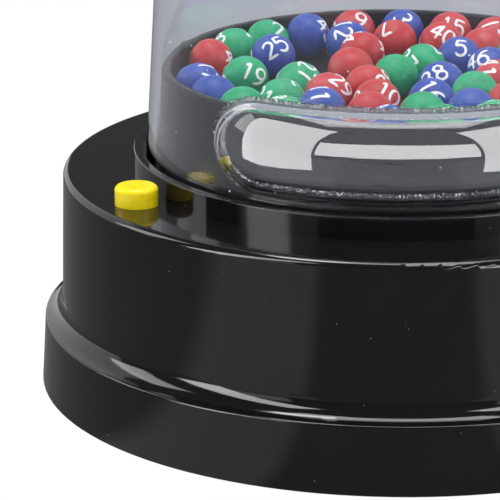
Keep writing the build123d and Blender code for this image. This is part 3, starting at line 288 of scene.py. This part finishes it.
def wrapped_stroke(path, width, centre, east, north, out, count=16):
    """A ribbon on a ball. Half its width is w sqrt(1 - (1 - d/w)^2) within w of an end, at a distance d
    from it, so ends are round. A flat point p goes to centre + r (out cos a + p/|p| sin a), a = |p| / R."""
    line, along = resample(path, count)
    heading = np.gradient(line, axis=0)
    heading /= np.maximum(np.hypot(*heading.T), 1e-9)[:, None]
    side = np.column_stack((-heading[:, 1], heading[:, 0]))
    half = width / 2
    to_end = np.minimum(np.minimum(along, along[-1] - along) + 0.12 * half, half)
    reach = half * np.sqrt(np.maximum(1 - (1 - to_end / half) ** 2, 0.0))
    across = np.array([-1.0, 1.0, 1.0, -1.0])
    radius = ball_radius + np.array([ink_height, ink_height, -ink_sink, -ink_sink])
    flat = line[:, None, :] + (side * reach[:, None])[:, None, :] * across[None, :, None]
    distance = np.maximum(np.hypot(flat[..., 0], flat[..., 1]), 1e-12)
    turn = distance / ball_radius
    sideways = (flat[..., :1] * east + flat[..., 1:] * north) / distance[..., None]
    return centre + radius[None, :, None] * (
        np.cos(turn)[..., None] * out + np.sin(turn)[..., None] * sideways
    )


def ribbon_faces(count):
    """Quads round and along a ribbon of four-cornered sections, with a quad on each end."""
    ring = np.arange(4)
    start = 4 * np.arange(count - 1)[:, None]
    quads = np.stack((start + ring, start + 4 + ring, start + 4 + (ring + 1) % 4, start + (ring + 1) % 4), -1)
    last = 4 * (count - 1)
    caps = np.array([[0, 1, 2, 3], [last + 3, last + 2, last + 1, last]])
    return np.vstack((quads.reshape(-1, 4), caps))


# %% [markdown]
# The ink needs each ball's middle. The balls lie in rings round the axis, so the same rings, colours and
# gaps are written here as in the design. A dot in a row of letters is a gap with no ball.

# %% Where the balls lie
ball_rings = (
    (102.0, "rbggr.bbgg.bgg.gr.brbrrb"),
    (70.5, "rrb.b.g.gbrgbrg.bgr"),
    (19.0, "bb.r..grrbgr"),
    (58.0, "grrb"),
    (0.0, "g"),
)
outer_ring = 0.04225
ring_step = 0.01035
ball_level = 0.06653
ball_centres = {}
for ring, (first_angle, letters) in enumerate(ball_rings):
    ring_radius = outer_ring - ring * ring_step if len(letters) > 1 else 0.0
    for slot, letter in enumerate(letters):
        if letter != ".":
            angle = np.radians(first_angle + 360 * slot / len(letters))
            ball_centres[ring, slot] = np.array(
                (ring_radius * np.cos(angle), ring_radius * np.sin(angle), ball_level)
            )
print(f"{len(ball_centres)} balls")

# %% The prints that the photograph shows, and the others
view_yaw = -0.0260
view_pitch = 0.3020
view_forward = np.array(
    (np.sin(view_yaw) * np.cos(view_pitch), np.cos(view_yaw) * np.cos(view_pitch), -np.sin(view_pitch))
)
view_right = np.array((np.cos(view_yaw), -np.sin(view_yaw), 0.0))
view_up = np.cross(view_right, view_forward)
# Ball (ring, slot), its number, the print's middle across and up from the ball's middle as the camera
# sees it, in ball radii, and how far the print is turned clockwise, in degrees.
seen_prints = (
    ((1, 4), "25", 0.10, 0.42, -32),
    ((0, 2), "2", 0.55, 0.55, 12),
    ((0, 6), "17", 0.45, 0.70, 100),
    ((0, 4), "4", 0.88, 0.22, 70),
    ((0, 3), "18", -0.85, 0.30, -60),
    ((1, 6), "19", 0.38, 0.20, 28),
    ((2, 6), "27", 0.36, 0.66, 115),
    ((1, 8), "31", -0.80, 0.20, 20),
    ((1, 9), "11", -0.10, 0.80, 80),
    ((0, 0), "9", 0.30, 0.52, 22),
    ((1, 1), "7", -0.42, 0.62, 150),
    ((0, 23), "3", 0.00, 0.55, 68),
    ((1, 2), "12", -0.25, 0.70, 75),
    ((1, 0), "40", 0.05, 0.42, 35),
    ((0, 22), "15", 0.05, 0.30, 18),
    ((0, 21), "47", -0.10, 0.35, -125),
    ((2, 1), "5", 0.02, 0.48, 8),
    ((3, 0), "37", -0.78, 0.25, 40),
    ((3, 3), "38", -0.38, 0.36, -38),
    ((2, 9), "16", -0.05, 0.42, 60),
    ((3, 2), "39", 0.78, 0.35, -30),
    ((2, 8), "10", 0.50, 0.38, 42),
    ((2, 7), "29", 0.62, 0.52, 60),
    ((2, 11), "41", -0.40, 0.70, 80),
    ((0, 1), "43", 0.85, 0.25, 60),
    ((2, 0), "46", -0.62, 0.45, -20),
)
print(f"{len(seen_prints)} prints face the camera")


# %% Printing them
def print_frame(out, turn):
    """Two directions on the ball at a print's middle: its own right and up, turned clockwise."""
    right = np.cross(view_up, out)
    right /= np.linalg.norm(right)
    up = np.cross(out, right)
    angle = np.radians(turn)
    return right * np.cos(angle) - up * np.sin(angle), up * np.cos(angle) + right * np.sin(angle)


figure_height = 0.0044
stroke_width = 0.00062
figure_pitch = 0.0031
ribbon_points = 16
one_ribbon = ribbon_faces(ribbon_points)
ink_points, ink_faces = [], []


def print_number(number, centre, out, turn):
    """Adds a number's strokes to the ink: its figures side by side, with a bar under 6 and 9."""
    right, up = print_frame(out, turn)
    for place, letter in enumerate(number):
        shift = np.array(((place - (len(number) - 1) / 2) * figure_pitch, 0.0))
        strokes = [figures[letter]] + ([underline] if number in ("6", "9") else [])
        for stroke in strokes:
            ribbon = wrapped_stroke(
                stroke * figure_height + shift, stroke_width, centre, right, up, out, ribbon_points
            )
            ink_faces.append(one_ribbon + 4 * ribbon_points * len(ink_points))
            ink_points.append(ribbon.reshape(-1, 3))


shown = {place: (number, across, up, turn) for place, number, across, up, turn in seen_prints}
spare_numbers = [str(n) for n in range(1, 50) if str(n) not in {item[0] for item in shown.values()}]
chance = np.random.default_rng(7)
for place, centre in ball_centres.items():
    if place in shown:
        number, across, up, turn = shown[place]
        first = across * view_right + up * view_up - np.sqrt(1 - across**2 - up**2) * view_forward
    else:
        number, turn = spare_numbers.pop(0), chance.uniform(0, 360)
        first = view_forward * np.array((0.3, 1.0, 0.2)) + chance.normal(0, 0.25, 3)
        first /= np.linalg.norm(first)
    sideways = np.cross(first, view_up + 0.3 * view_forward)
    sideways /= np.linalg.norm(sideways)
    third = np.cross(first, sideways)
    print_number(number, centre, first, turn)
    for lean in (0.94 * sideways - 0.34 * first, -0.5 * sideways - 0.34 * first - 0.8 * third):
        out = lean / np.linalg.norm(lean)
        if out @ -view_forward < 0.25:
            print_number(number, centre, out, chance.uniform(0, 360))


# %% From arrays to an object
def surface_object(name, vertices, faces, material, body, smooth=True):
    """A mesh object made from arrays, at the origin, riding on a body."""
    mesh = bpy.data.meshes.new(name)
    mesh.from_pydata(vertices, [], faces.tolist())
    mesh.materials.append(material)
    mesh.update()
    piece = bpy.data.objects.new(name, mesh)
    bpy.context.scene.collection.objects.link(piece)
    mesh.polygons.foreach_set("use_smooth", np.full(len(mesh.polygons), smooth))
    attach(piece, body)
    print(f"{name}: {len(vertices)} points, {len(faces)} faces")
    return piece


number_ink, tree, shader = new_finish("number_ink", (0.86, 0.86, 0.86), 0.35)
worn = between(tree, noise(tree, 1400.0, 5.0), 0.0, 1.0, 0.45, 0.8)
tree.links.new(mix_colours(tree, worn, (0.90, 0.90, 0.90), (0.66, 0.67, 0.70)), shader.inputs["Base Color"])
tree.links.new(between(tree, worn, 0.28, 0.55, 0.0, 1.0), shader.inputs["Roughness"])
ball_numbers = surface_object(
    "ball_numbers", np.vstack(ink_points), np.vstack(ink_faces), number_ink, "turntable", False
)

# %% [markdown]
# ## The bead of cement round the gallery
# The gallery is a separate clear moulding, cemented to the dome. The cement squeezes out as an uneven
# bead with bubbles, and it glitters where the walls are quiet. The seam is the gallery's outline, a slot
# shape, thrown on to the dome's cone: at a height z the cone's radius is R(z), so y = -sqrt(R^2 - x^2).
# The bead is a tube on that path whose radius wavers by a sum of sines.

# %% The seam's path
gallery_middle = 0.0634
cone_slope = np.tan(np.radians(3.0))


def seam_path(half_width, half_height, lift, count):
    """Points of a slot outline on the dome's cone, lifted from it by a distance, evenly spaced."""
    straight = half_width - half_height
    edge = np.vstack((
        arc(straight, 0.0, half_height, half_height, -90, 90, 60),
        arc(-straight, 0.0, half_height, half_height, 90, 270, 60),
        points((straight, -half_height)),
    ))
    outline, _ = resample(edge, count + 1)
    outline = outline[:-1]
    height = gallery_middle + outline[:, 1]
    radius = 0.05246 + (0.0610 - height) * cone_slope + lift
    return np.column_stack((outline[:, 0], -np.sqrt(radius**2 - outline[:, 0] ** 2), height))


def wavering_tube(path, radius, waver, sides, seed):
    """A closed tube: path(s) + r(s, t) (cos t n + sin t b), with r = radius (1 + waver * sum of sines)."""
    count = len(path)
    heading = np.roll(path, -1, 0) - np.roll(path, 1, 0)
    heading /= np.linalg.norm(heading, axis=1)[:, None]
    outwards = path * np.array((1.0, 1.0, 0.0))
    outwards /= np.linalg.norm(outwards, axis=1)[:, None]
    outwards -= (outwards * heading).sum(1)[:, None] * heading
    outwards /= np.linalg.norm(outwards, axis=1)[:, None]
    binormal = np.cross(heading, outwards)
    s = np.linspace(0, 2 * pi, count, endpoint=False)[:, None]
    t = np.linspace(0, 2 * pi, sides, endpoint=False)[None, :]
    phases = np.random.default_rng(seed).uniform(0, 2 * pi, (6, 1, 1))
    waves = np.array((31, 53, 97, 151, 211, 277)).reshape(6, 1, 1)
    sway = np.sin(
        waves * s[None] + phases + 2 * t[None] * np.array((0, 1, 0, 1, 1, 0)).reshape(6, 1, 1)
    ).sum(0) / 6
    r = radius * (1 + waver * sway)
    return path[:, None, :] + r[..., None] * (
        np.cos(t)[..., None] * outwards[:, None] + np.sin(t)[..., None] * binormal[:, None]
    )


def closed_grid_faces(rows, columns):
    """Quads of a grid that closes on itself both ways."""
    row = np.arange(rows)[:, None]
    column = np.arange(columns)[None, :]
    a = row * columns + column
    b = ((row + 1) % rows) * columns + column
    c = ((row + 1) % rows) * columns + (column + 1) % columns
    d = row * columns + (column + 1) % columns
    return np.stack((a, d, c, b), -1).reshape(-1, 4)


# %% Cement beads
cement, tree, shader = new_finish("clear_cement", (0.97, 0.975, 0.98), 0.03, ior=1.48)
bubbles = specks(tree, 1500.0, 0.32)
tree.links.new(between(tree, bubbles, 1.0, 0.25, 0.0, 1.0), shader.inputs["Transmission Weight"])
tree.links.new(between(tree, noise(tree, 900.0, 4.0), 0.0, 0.25), shader.inputs["Roughness"])
relief(tree, shader, noise(tree, 1100.0, 4.0, distortion=1.0), 0.00025, 0.8)

bead_rows, bead_sides = 720, 10
bead_faces = closed_grid_faces(bead_rows, bead_sides)
outer_bead = wavering_tube(seam_path(0.0372, 0.0097, 0.00010, bead_rows), 0.00032, 0.45, bead_sides, 3)
inner_bead = wavering_tube(seam_path(0.0357, 0.0082, 0.00025, bead_rows), 0.00050, 0.6, bead_sides, 5)
surface_object("cement_outside", outer_bead.reshape(-1, 3), bead_faces, cement, "dome")
surface_object("cement_inside", inner_bead.reshape(-1, 3), bead_faces, cement, "dome")

# %% [markdown]
# ## The gallery's pillow
# The gallery could be blown or pressed like a shallow blister: its rim stands straight up from the dome
# and its front is domed, with almost no flat face. This section is judged from the bands of light in the
# picture. One outline with a varying inset makes it: the closer to the middle, the nearer
# to the front, after a quarter of an ellipse. An inner skin, a wall's thickness in, makes it hollow.

# %% The blister as rings of stations
gallery_reach, gallery_rise, gallery_wall = 0.0372, 0.0097, 0.0015
front_radius, front_back = 0.0550, 0.0074
stations_per_end, stations_per_side, blister_rings = 24, 60, 26


def blister_skin(thickness):
    """Rings of one skin. At inset d = r (1 - cos f) the front curve -(g + sqrt(R^2 - x^2)) falls back by
    D (1 - sin f), for f from 0 at the rim to 90 degrees. The first ring lies on the dome's cone."""
    middle = gallery_reach - gallery_rise
    half_height = gallery_rise - thickness
    turn = (np.arange(stations_per_end) + 0.5) * (pi / 2) / stations_per_end
    side = np.linspace(middle, -middle, stations_per_side)
    centre = np.concatenate((np.full(stations_per_end, middle), side, np.full(stations_per_end, -middle)))
    across = np.concatenate((np.cos(turn), np.zeros(stations_per_side), -np.cos(turn[::-1])))
    upward = np.concatenate((np.sin(turn), np.ones(stations_per_side), np.sin(turn[::-1])))
    centre, across = np.concatenate((centre, centre[::-1])), np.concatenate((across, across[::-1]))
    upward = np.concatenate((upward, -upward[::-1]))
    fall = np.linspace(0.0, pi / 2, blister_rings)[:, None]
    rounding, depth = half_height - 0.0004, 0.0080 - 0.8 * thickness
    height_left = half_height - rounding * (1 - np.cos(fall))
    x = centre + height_left * across
    z = gallery_middle + height_left * upward
    y = -(front_back + np.sqrt(front_radius**2 - x**2)) + thickness + depth * (1 - np.sin(fall))
    cone = 0.05246 + (0.0610 - z[:1]) * cone_slope + 0.00003
    foot = np.stack((x[:1], -np.sqrt(cone**2 - x[:1] ** 2), z[:1]), -1)
    return np.concatenate((foot, np.stack((x, y, z), -1)))


outer_skin, inner_skin = blister_skin(0.0), blister_skin(gallery_wall)
rings, stations = outer_skin.shape[:2]
row, station = np.arange(rings - 1)[:, None] * stations, np.arange(stations)[None, :]
after = (station + 1) % stations
ring_quads = np.stack(
    (row + station, row + after, row + stations + after, row + stations + station), -1
).reshape(-1, 4)
near, half_way = np.arange(stations // 2 - 1), stations - 1
last_ring = (rings - 1) * stations
cap_quads = last_ring + np.stack((near, near + 1, half_way - near - 1, half_way - near), -1)
skin_quads = np.vstack((ring_quads, cap_quads))
inner_start = rings * stations
foot_quads = np.stack((station, inner_start + station, inner_start + after, after), -1).reshape(-1, 4)
blister_faces = np.vstack((skin_quads, skin_quads[:, ::-1] + inner_start, foot_quads))
blister_points = np.vstack((outer_skin.reshape(-1, 3), inner_skin.reshape(-1, 3)))
a, b, c, d = (blister_points[blister_faces[:, k]] for k in range(4))
blister_volume = np.einsum(
    "ij,ij->i", a, np.cross(b, c)
).sum() / 6 + np.einsum("ij,ij->i", a, np.cross(c, d)).sum() / 6
if blister_volume < 0:
    blister_faces = blister_faces[:, ::-1]
print(f"wall of {abs(blister_volume) * 1e6:.2f} cm3, outward: {blister_volume > 0}")
gallery_blister = surface_object("gallery_blister", blister_points, blister_faces, clear_gallery, "dome")
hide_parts("ball_gallery")

# %% [markdown]
# ## The button
# The push-button is a bright yellow moulding with a smooth top and softer sides, and fingers have polished
# the middle of the top. Here its tone and roughness only drift in clouds, and a little light passes into it.

# %% Yellow button
button_yellow, tree, shader = new_finish("button_yellow", (0.95, 0.76, 0.0), 0.28)
tone = noise(tree, 420.0, 3.0)
tree.links.new(mix_colours(tree, tone, (0.90, 0.68, 0.0), (0.98, 0.80, 0.01)), shader.inputs["Base Color"])
tree.links.new(between(tree, noise(tree, 700.0, 4.0), 0.2, 0.4), shader.inputs["Roughness"])
shader.inputs["Subsurface Weight"].default_value = 0.12
shader.inputs["Subsurface Radius"].default_value = (0.002, 0.0016, 0.0006)
relief(tree, shader, noise(tree, 2600.0, 2.0), 0.00003, 0.4)
dress(button_yellow, "button_cap")

# %% [markdown]
# ## Moulded parts inside and below
# Gears, plates, the switch and the motor's cap are plain mouldings, which differ in colour, polish and
# grain. One function makes them: a base colour that drifts a little, a roughness that drifts with it,
# and a fine grain for the texture of the mould.

# %% One function for mouldings
def moulded(name, colour, drift, rough, grain_scale, grain_depth):
    """Moulded plastic: colour times 1 - drift to 1 + drift, roughness within a fifth, fine grain."""
    material, tree, shader = new_finish(name, colour, rough)
    dark = tuple(c * (1 - drift) for c in colour)
    light = tuple(min(1.0, c * (1 + drift)) for c in colour)
    tree.links.new(mix_colours(tree, noise(tree, 180.0, 4.0), dark, light), shader.inputs["Base Color"])
    tree.links.new(
        between(tree, noise(tree, 400.0, 4.0), rough * 0.8, rough * 1.2), shader.inputs["Roughness"]
    )
    relief(tree, shader, noise(tree, grain_scale, 2.0), grain_depth, 0.6)
    return material


dress(
    moulded(
        "gear_nylon", (0.80, 0.78, 0.70), 0.06, 0.42, 1800.0, 0.00002
    ), "output_gear", "compound_gear_1", "compound_gear_2"
)
dress(
    moulded(
        "gearbox_grey", (0.24, 0.25, 0.27), 0.12, 0.45, 1200.0, 0.00004
    ), "gear_plate_upper", "gear_plate_lower"
)
dress(
    moulded("switch_black", (0.02, 0.02, 0.022), 0.2, 0.4, 1500.0, 0.00002), "switch_body", "switch_plunger"
)
dress(moulded("endcap_white", (0.72, 0.72, 0.68), 0.05, 0.4, 1500.0, 0.00002), "motor_endcap")
dress(
    moulded("plate_black", (0.014, 0.014, 0.015), 0.25, 0.55, 1300.0, 0.00008), "base_plate", "battery_door"
)
dress(moulded("foot_rubber", (0.018, 0.018, 0.018), 0.3, 0.8, 2500.0, 0.00006), "rubber_feet")
dress(
    moulded(
        "wire_red", (0.55, 0.02, 0.02), 0.1, 0.38, 1500.0, 0.00002
    ), "wire_battery_switch", "wire_switch_motor"
)
dress(moulded("wire_black", (0.015, 0.015, 0.016), 0.2, 0.38, 1500.0, 0.00002), "wire_motor_battery")

# %% [markdown]
# ## Metal parts
# Shafts and bushes are turned, springs are drawn and contacts are plated. All of them are the metallic
# shader with fine scratches, drawn out along the way in which the metal was worked, and with a faint
# stain of oxide that dulls and darkens it in clouds.

# %% One function for metals
def worked_metal(name, colour, stain, rough, stretch):
    """Metal with scratches drawn out by stretch, clouded by a stain of another colour."""
    material, tree, shader = new_finish(name, colour, rough, metallic=1.0)
    clouds = between(tree, noise(tree, 260.0, 5.0), 0.0, 0.6, 0.45, 0.85)
    tree.links.new(mix_colours(tree, clouds, colour, stain), shader.inputs["Base Color"])
    scratches = noise(tree, 2400.0, 5.0, stretch)
    tree.links.new(between(tree, scratches, rough * 0.7, rough * 1.4), shader.inputs["Roughness"])
    relief(tree, shader, scratches, 0.00001, 0.6)
    return material


turned = (1.0, 1.0, 0.08)
dress(
    worked_metal(
        "shaft_steel", (0.62, 0.62, 0.64), (0.42, 0.40, 0.38), 0.22, turned
    ), "drive_shaft", "gear_axles", "motor_shaft"
)
dress(
    worked_metal(
        "bush_brass", (0.75, 0.56, 0.24), (0.42, 0.28, 0.12), 0.25, turned
    ), "shaft_bush", "motor_pinion"
)
dress(
    worked_metal(
        "spring_steel", (0.58, 0.58, 0.60), (0.35, 0.33, 0.30), 0.25, (0.3, 0.3, 1.0)
    ), "button_spring"
)
dress(
    worked_metal("motor_steel", (0.60, 0.61, 0.62), (0.46, 0.46, 0.44), 0.32, (1.0, 1.0, 0.15)), "motor_case"
)
dress(
    worked_metal(
        "contact_nickel", (0.72, 0.70, 0.66), (0.45, 0.42, 0.36), 0.2, (1.0, 0.2, 1.0)
    ), "battery_contacts", "motor_terminals"
)
screws = ("bowl_screws", "base_screws", "gearbox_screws", "switch_screws", "motor_screws", "door_screws")
dress(worked_metal("screw_steel", (0.60, 0.60, 0.60), (0.38, 0.37, 0.35), 0.28, (1.0, 1.0, 0.4)), *screws)

# %% [markdown]
# ## The magnets, the armature, the board and the cells
# The last four need a pattern of their own. Ferrite is a dull grey ceramic with a gritty break. The
# armature shows stacked sheets of iron, so bands run across its axis. A circuit board is green lacquer
# over copper tracks, which stand a little proud. The cells wear plain printed jackets: a dark sleeve with
# a gold shoulder, and bare steel at the ends.

# %% Ferrite and iron sheets
dress(moulded("ferrite", (0.05, 0.05, 0.055), 0.3, 0.7, 2600.0, 0.00006), "motor_magnets")


def banded(tree, scale, direction):
    """Stripes across one axis of Object coordinates, 0..1."""
    place = tree.nodes.new("ShaderNodeTexCoord")
    stripes = tree.nodes.new("ShaderNodeTexWave")
    stripes.bands_direction = direction
    stripes.inputs["Scale"].default_value = scale
    tree.links.new(place.outputs["Object"], stripes.inputs["Vector"])
    return stripes.outputs["Fac"]


iron_sheets, tree, shader = new_finish("iron_sheets", (0.3, 0.2, 0.12), 0.45, metallic=0.8)
sheet_edges = banded(tree, 620.0, "Z")
tree.links.new(
    mix_colours(tree, sheet_edges, (0.16, 0.14, 0.13), (0.46, 0.27, 0.15)), shader.inputs["Base Color"]
)
tree.links.new(between(tree, noise(tree, 1500.0), 0.35, 0.6), shader.inputs["Roughness"])
relief(tree, shader, sheet_edges, 0.00006, 0.7)
dress(iron_sheets, "motor_armature")

# %% Circuit board
board_green, tree, shader = new_finish("board_green", (0.02, 0.18, 0.06), 0.3)
tracks = between(tree, banded(tree, 90.0, "X"), 0.0, 1.0, 0.45, 0.6)
tree.links.new(
    mix_colours(tree, tracks, (0.012, 0.13, 0.045), (0.04, 0.26, 0.09)), shader.inputs["Base Color"]
)
tree.links.new(between(tree, noise(tree, 900.0), 0.22, 0.4), shader.inputs["Roughness"])
relief(tree, shader, tracks, 0.00004, 0.6)
dress(board_green, "switch_board")

# %% Cells in plain jackets
jacket, tree, shader = new_finish("cell_jacket", (0.03, 0.05, 0.09), 0.3, metallic=0.4)
place = tree.nodes.new("ShaderNodeTexCoord")
split = tree.nodes.new("ShaderNodeSeparateXYZ")
tree.links.new(place.outputs["Object"], split.inputs["Vector"])
size = tree.nodes.new("ShaderNodeMath")
size.operation = "ABSOLUTE"
tree.links.new(split.outputs["X"], size.inputs[0])
shoulder = between(tree, size.outputs["Value"], 0.0, 1.0, 0.0178, 0.0182)
bare_end = between(tree, size.outputs["Value"], 0.0, 1.0, 0.0243, 0.0245)
sleeve = mix_colours(tree, noise(tree, 500.0, 4.0), (0.020, 0.032, 0.060), (0.035, 0.055, 0.095))
gilded = mix_colours(tree, shoulder, sleeve, (0.62, 0.42, 0.14))
tree.links.new(mix_colours(tree, bare_end, gilded, (0.62, 0.62, 0.62)), shader.inputs["Base Color"])
tree.links.new(between(tree, noise(tree, 800.0), 0.22, 0.36), shader.inputs["Roughness"])
relief(tree, shader, noise(tree, 900.0, 2.0), 0.00002, 0.4)
dress(jacket, "batteries")
print(f"{len(dressed)} of {len(frame_nodes)} nodes have a finish; left: {sorted(set(frame_nodes) - dressed)}")

# %% [markdown]
# ## Floor and surroundings
# The photograph has the machine on pure white. The floor is a pale sheet that glows plain white to the
# camera, without the machine's shadow, and is diffuse paper only to bounced light. Rays that have passed
# through the clear walls see a mid grey instead, because a real clear dome shows a dimmer studio behind it.
# Mirror rays see a dark room and a dark floor with a painted reflection on it, a brighter patch to the front
# left and right, so that the black gloss stays black apart from the lamps and that painted reflection.

# %% White floor
def light_by_ray(tree, camera, through, mirror, other):
    """A brightness that depends on the kind of ray, built from Light Path's flags."""
    path = tree.nodes.new("ShaderNodeLightPath")
    value = other
    for flag, wanted in (
        ("Is Glossy Ray", mirror), ("Is Transmission Ray", through), ("Is Camera Ray", camera)
    ):
        pick = tree.nodes.new("ShaderNodeMix")
        pick.data_type = "RGBA"
        tree.links.new(path.outputs[flag], pick.inputs[0])
        for socket, colour in ((pick.inputs[6], value), (pick.inputs[7], wanted)):
            if isinstance(colour, tuple):
                socket.default_value = (*colour, 1.0)
            else:
                tree.links.new(colour, socket)
        value = pick.outputs[2]
    return value


floor_mesh = bpy.data.meshes.new("floor")
reach = 4.0
floor_mesh.from_pydata(
    [(-reach, -reach, 0), (reach, -reach, 0), (reach, reach, 0), (-reach, reach, 0)], [], [(0, 1, 2, 3)]
)
floor = bpy.data.objects.new("floor", floor_mesh)
bpy.context.scene.collection.objects.link(floor)
floor_white = bpy.data.materials.new("floor_white")
floor_white.use_nodes = True
tree = floor_white.node_tree
tree.nodes.clear()
output = tree.nodes.new("ShaderNodeOutputMaterial")
paper = tree.nodes.new("ShaderNodeBsdfDiffuse")
paper.inputs["Color"].default_value = (0.82, 0.82, 0.82, 1.0)
shine = tree.nodes.new("ShaderNodeEmission")
place = tree.nodes.new("ShaderNodeTexCoord")
split = tree.nodes.new("ShaderNodeSeparateXYZ")
tree.links.new(place.outputs["Object"], split.inputs["Vector"])
backwards = tree.nodes.new("ShaderNodeMath")
backwards.operation = "MULTIPLY"
backwards.inputs[1].default_value = -1.0
tree.links.new(split.outputs["Y"], backwards.inputs[0])
bearing = tree.nodes.new("ShaderNodeMath")
bearing.operation = "ARCTAN2"
tree.links.new(split.outputs["X"], bearing.inputs[0])
tree.links.new(backwards.outputs["Value"], bearing.inputs[1])
off_centre = tree.nodes.new("ShaderNodeMath")
off_centre.operation = "ABSOLUTE"
tree.links.new(bearing.outputs["Value"], off_centre.inputs[0])
# Painted reflection: to mirror rays the floor glows brighter between 20 and 58 degrees either side of
# straight ahead, a stand-in for soft lit surroundings mirrored in the black gloss.
inner_edge = between(tree, off_centre.outputs["Value"], 0.0, 1.0, np.radians(20.0), np.radians(24.0))
outer_edge = between(tree, off_centre.outputs["Value"], 1.0, 0.0, np.radians(50.0), np.radians(58.0))
reflection_patch_mask = tree.nodes.new("ShaderNodeMath")
reflection_patch_mask.operation = "MULTIPLY"
tree.links.new(inner_edge, reflection_patch_mask.inputs[0])
tree.links.new(outer_edge, reflection_patch_mask.inputs[1])
painted_reflection_patch = mix_colours(tree, reflection_patch_mask.outputs["Value"], (0.20, 0.20, 0.205), (0.58, 0.58, 0.62))
dark = (0.0, 0.0, 0.0)
white = (1.0, 1.0, 1.0)
behind_clear = (0.47, 0.49, 0.54)
tree.links.new(light_by_ray(tree, white, behind_clear, painted_reflection_patch, dark), shine.inputs["Color"])
share = tree.nodes.new("ShaderNodeMixShader")
path = tree.nodes.new("ShaderNodeLightPath")
shown_share = tree.nodes.new("ShaderNodeMath")
shown_share.operation = "SUBTRACT"
shown_share.inputs[0].default_value = 1.0
tree.links.new(path.outputs["Is Diffuse Ray"], shown_share.inputs[1])
tree.links.new(shown_share.outputs["Value"], share.inputs[0])
tree.links.new(paper.outputs[0], share.inputs[1])
tree.links.new(shine.outputs[0], share.inputs[2])
tree.links.new(share.outputs[0], output.inputs["Surface"])
floor_mesh.materials.append(floor_white)

# %% The room
world = bpy.data.worlds.new("room")
bpy.context.scene.world = world
world.use_nodes = True
tree = world.node_tree
background = tree.nodes["Background"]
room_mirrored, room_light = (0.11, 0.11, 0.115), (0.55, 0.55, 0.55)
tree.links.new(light_by_ray(tree, white, behind_clear, room_mirrored, room_light), background.inputs["Color"])
print("floor and room are set")

# %% [markdown]
# ## Lamps
# Two kinds of light are set apart here, as a product photographer does with flags and screens. Wide soft
# boxes light the balls and the button. Panels are only there to be mirrored: each has a brightness, an
# azimuth and a height, and is shown to the pieces whose gloss it should draw.

# %% Soft boxes that light
def face_towards(box, place, aim):
    """Puts a lamp at a place and turns it to face a point."""
    box.location = place
    box.rotation_euler = (Vector(aim) - Vector(place)).to_track_quat("-Z", "Y").to_euler()
    bpy.context.scene.collection.objects.link(box)
    box.visible_camera = False
    box.visible_transmission = False


def soft_box(name, place, aim, width, height, power):
    """A rectangular area lamp at a place, turned to face a point."""
    lamp = bpy.data.lights.new(name, "AREA")
    lamp.shape = "RECTANGLE"
    lamp.size, lamp.size_y, lamp.energy = width, height, power
    box = bpy.data.objects.new(name, lamp)
    face_towards(box, place, aim)
    print(f"{name}: {width:.2f} x {height:.2f} m, {power:.1f} W")
    return box


machine_middle = (0.0, 0.0, 0.06)
soft_box("box_above", (0.0, 0.1, 1.5), machine_middle, 1.0, 0.8, 16.0)
soft_box("box_left", (-1.3, 0.2, 0.75), machine_middle, 0.5, 0.9, 6.0)
soft_box("box_right", (1.3, -0.1, 0.75), machine_middle, 0.4, 0.9, 5.0)
box_front = soft_box("box_front", (-0.25, -1.5, 1.1), machine_middle, 0.7, 0.35, 8.0)
box_front.visible_glossy = False


# %% Panels that are mirrored
def seen_by(name, *objects):
    """A collection that tells a lamp which objects it may light."""
    group = bpy.data.collections.new(name)
    for item in objects:
        group.objects.link(item)
    return group


def panel(name, azimuth, distance, width, low, high, radiance, group, lean=0.0):
    """A panel that faces the axis, leant in its own plane. Its power is radiance times pi times its area."""
    turn = np.radians(azimuth)
    middle = (low + high) / 2
    place = (distance * np.sin(turn), -distance * np.cos(turn), middle)
    power = radiance * pi * width * (high - low)
    box = soft_box(name, place, (0.0, 0.0, middle), width, high - low, power)
    box.rotation_euler = (
        box.rotation_euler.to_quaternion() @ Quaternion((0, 0, 1), np.radians(lean))
    ).to_euler()
    box.visible_diffuse = False
    box.light_linking.receiver_collection = group


seen_by_base = seen_by("seen_by_base", frame_nodes["base_housing"])
seen_by_gallery = seen_by("seen_by_gallery", gallery_blister)
seen_by_clear = seen_by(
    "seen_by_clear", frame_nodes["dome"], frame_nodes["ball_bowl"], frame_nodes["base_housing"]
)
for side in (-1, 1):
    panel(f"cove_panel_{side}", 49 * side, 0.55, 0.17, -0.03, 0.63, 8.0, seen_by_base, lean=28 * side)
    panel(f"deck_panel_{side}", 50 * side, 0.56, 0.36, 0.04, 0.21, 1.2, seen_by_base)
    panel(f"gallery_panel_{side}", 55 * side, 0.22, 0.19, 0.0, 0.40, 12.0, seen_by_gallery)
    panel(f"rear_panel_{side}", 130 * side, 0.60, 0.72, 0.0, 0.55, 0.9, seen_by_clear)
panel("gallery_centre", 0, 0.60, 0.80, 0.12, 0.46, 13.0, seen_by_gallery)
overhead = soft_box("overhead_panel", (-0.08, 1.0, 1.3), (-0.08, 1.0, 0.0), 0.30, 2.2, 8.0 * pi * 0.66)
overhead.rotation_euler = (0.0, 0.0, np.radians(-13.7))
overhead.visible_diffuse = False
overhead.light_linking.receiver_collection = seen_by_base

# %% [markdown]
# ## Camera
# The photograph looks down by about 17 degrees from in front, through a long lens, and shows only the
# machine's lower left part. The camera's place, turn and lens repeat that view.

# %% The camera
camera_data = bpy.data.cameras.new("camera")
camera_data.lens = 234.05
camera_data.sensor_width = 36.0
camera_data.clip_end = 20.0
camera = bpy.data.objects.new("camera", camera_data)
camera.location = (-0.01348, -0.67141, 0.23696)
camera.rotation_euler = (pi / 2 - view_pitch, 0.0, -view_yaw)
bpy.context.scene.collection.objects.link(camera)
bpy.context.scene.camera = camera
bpy.context.scene.view_settings.view_transform = "Standard"
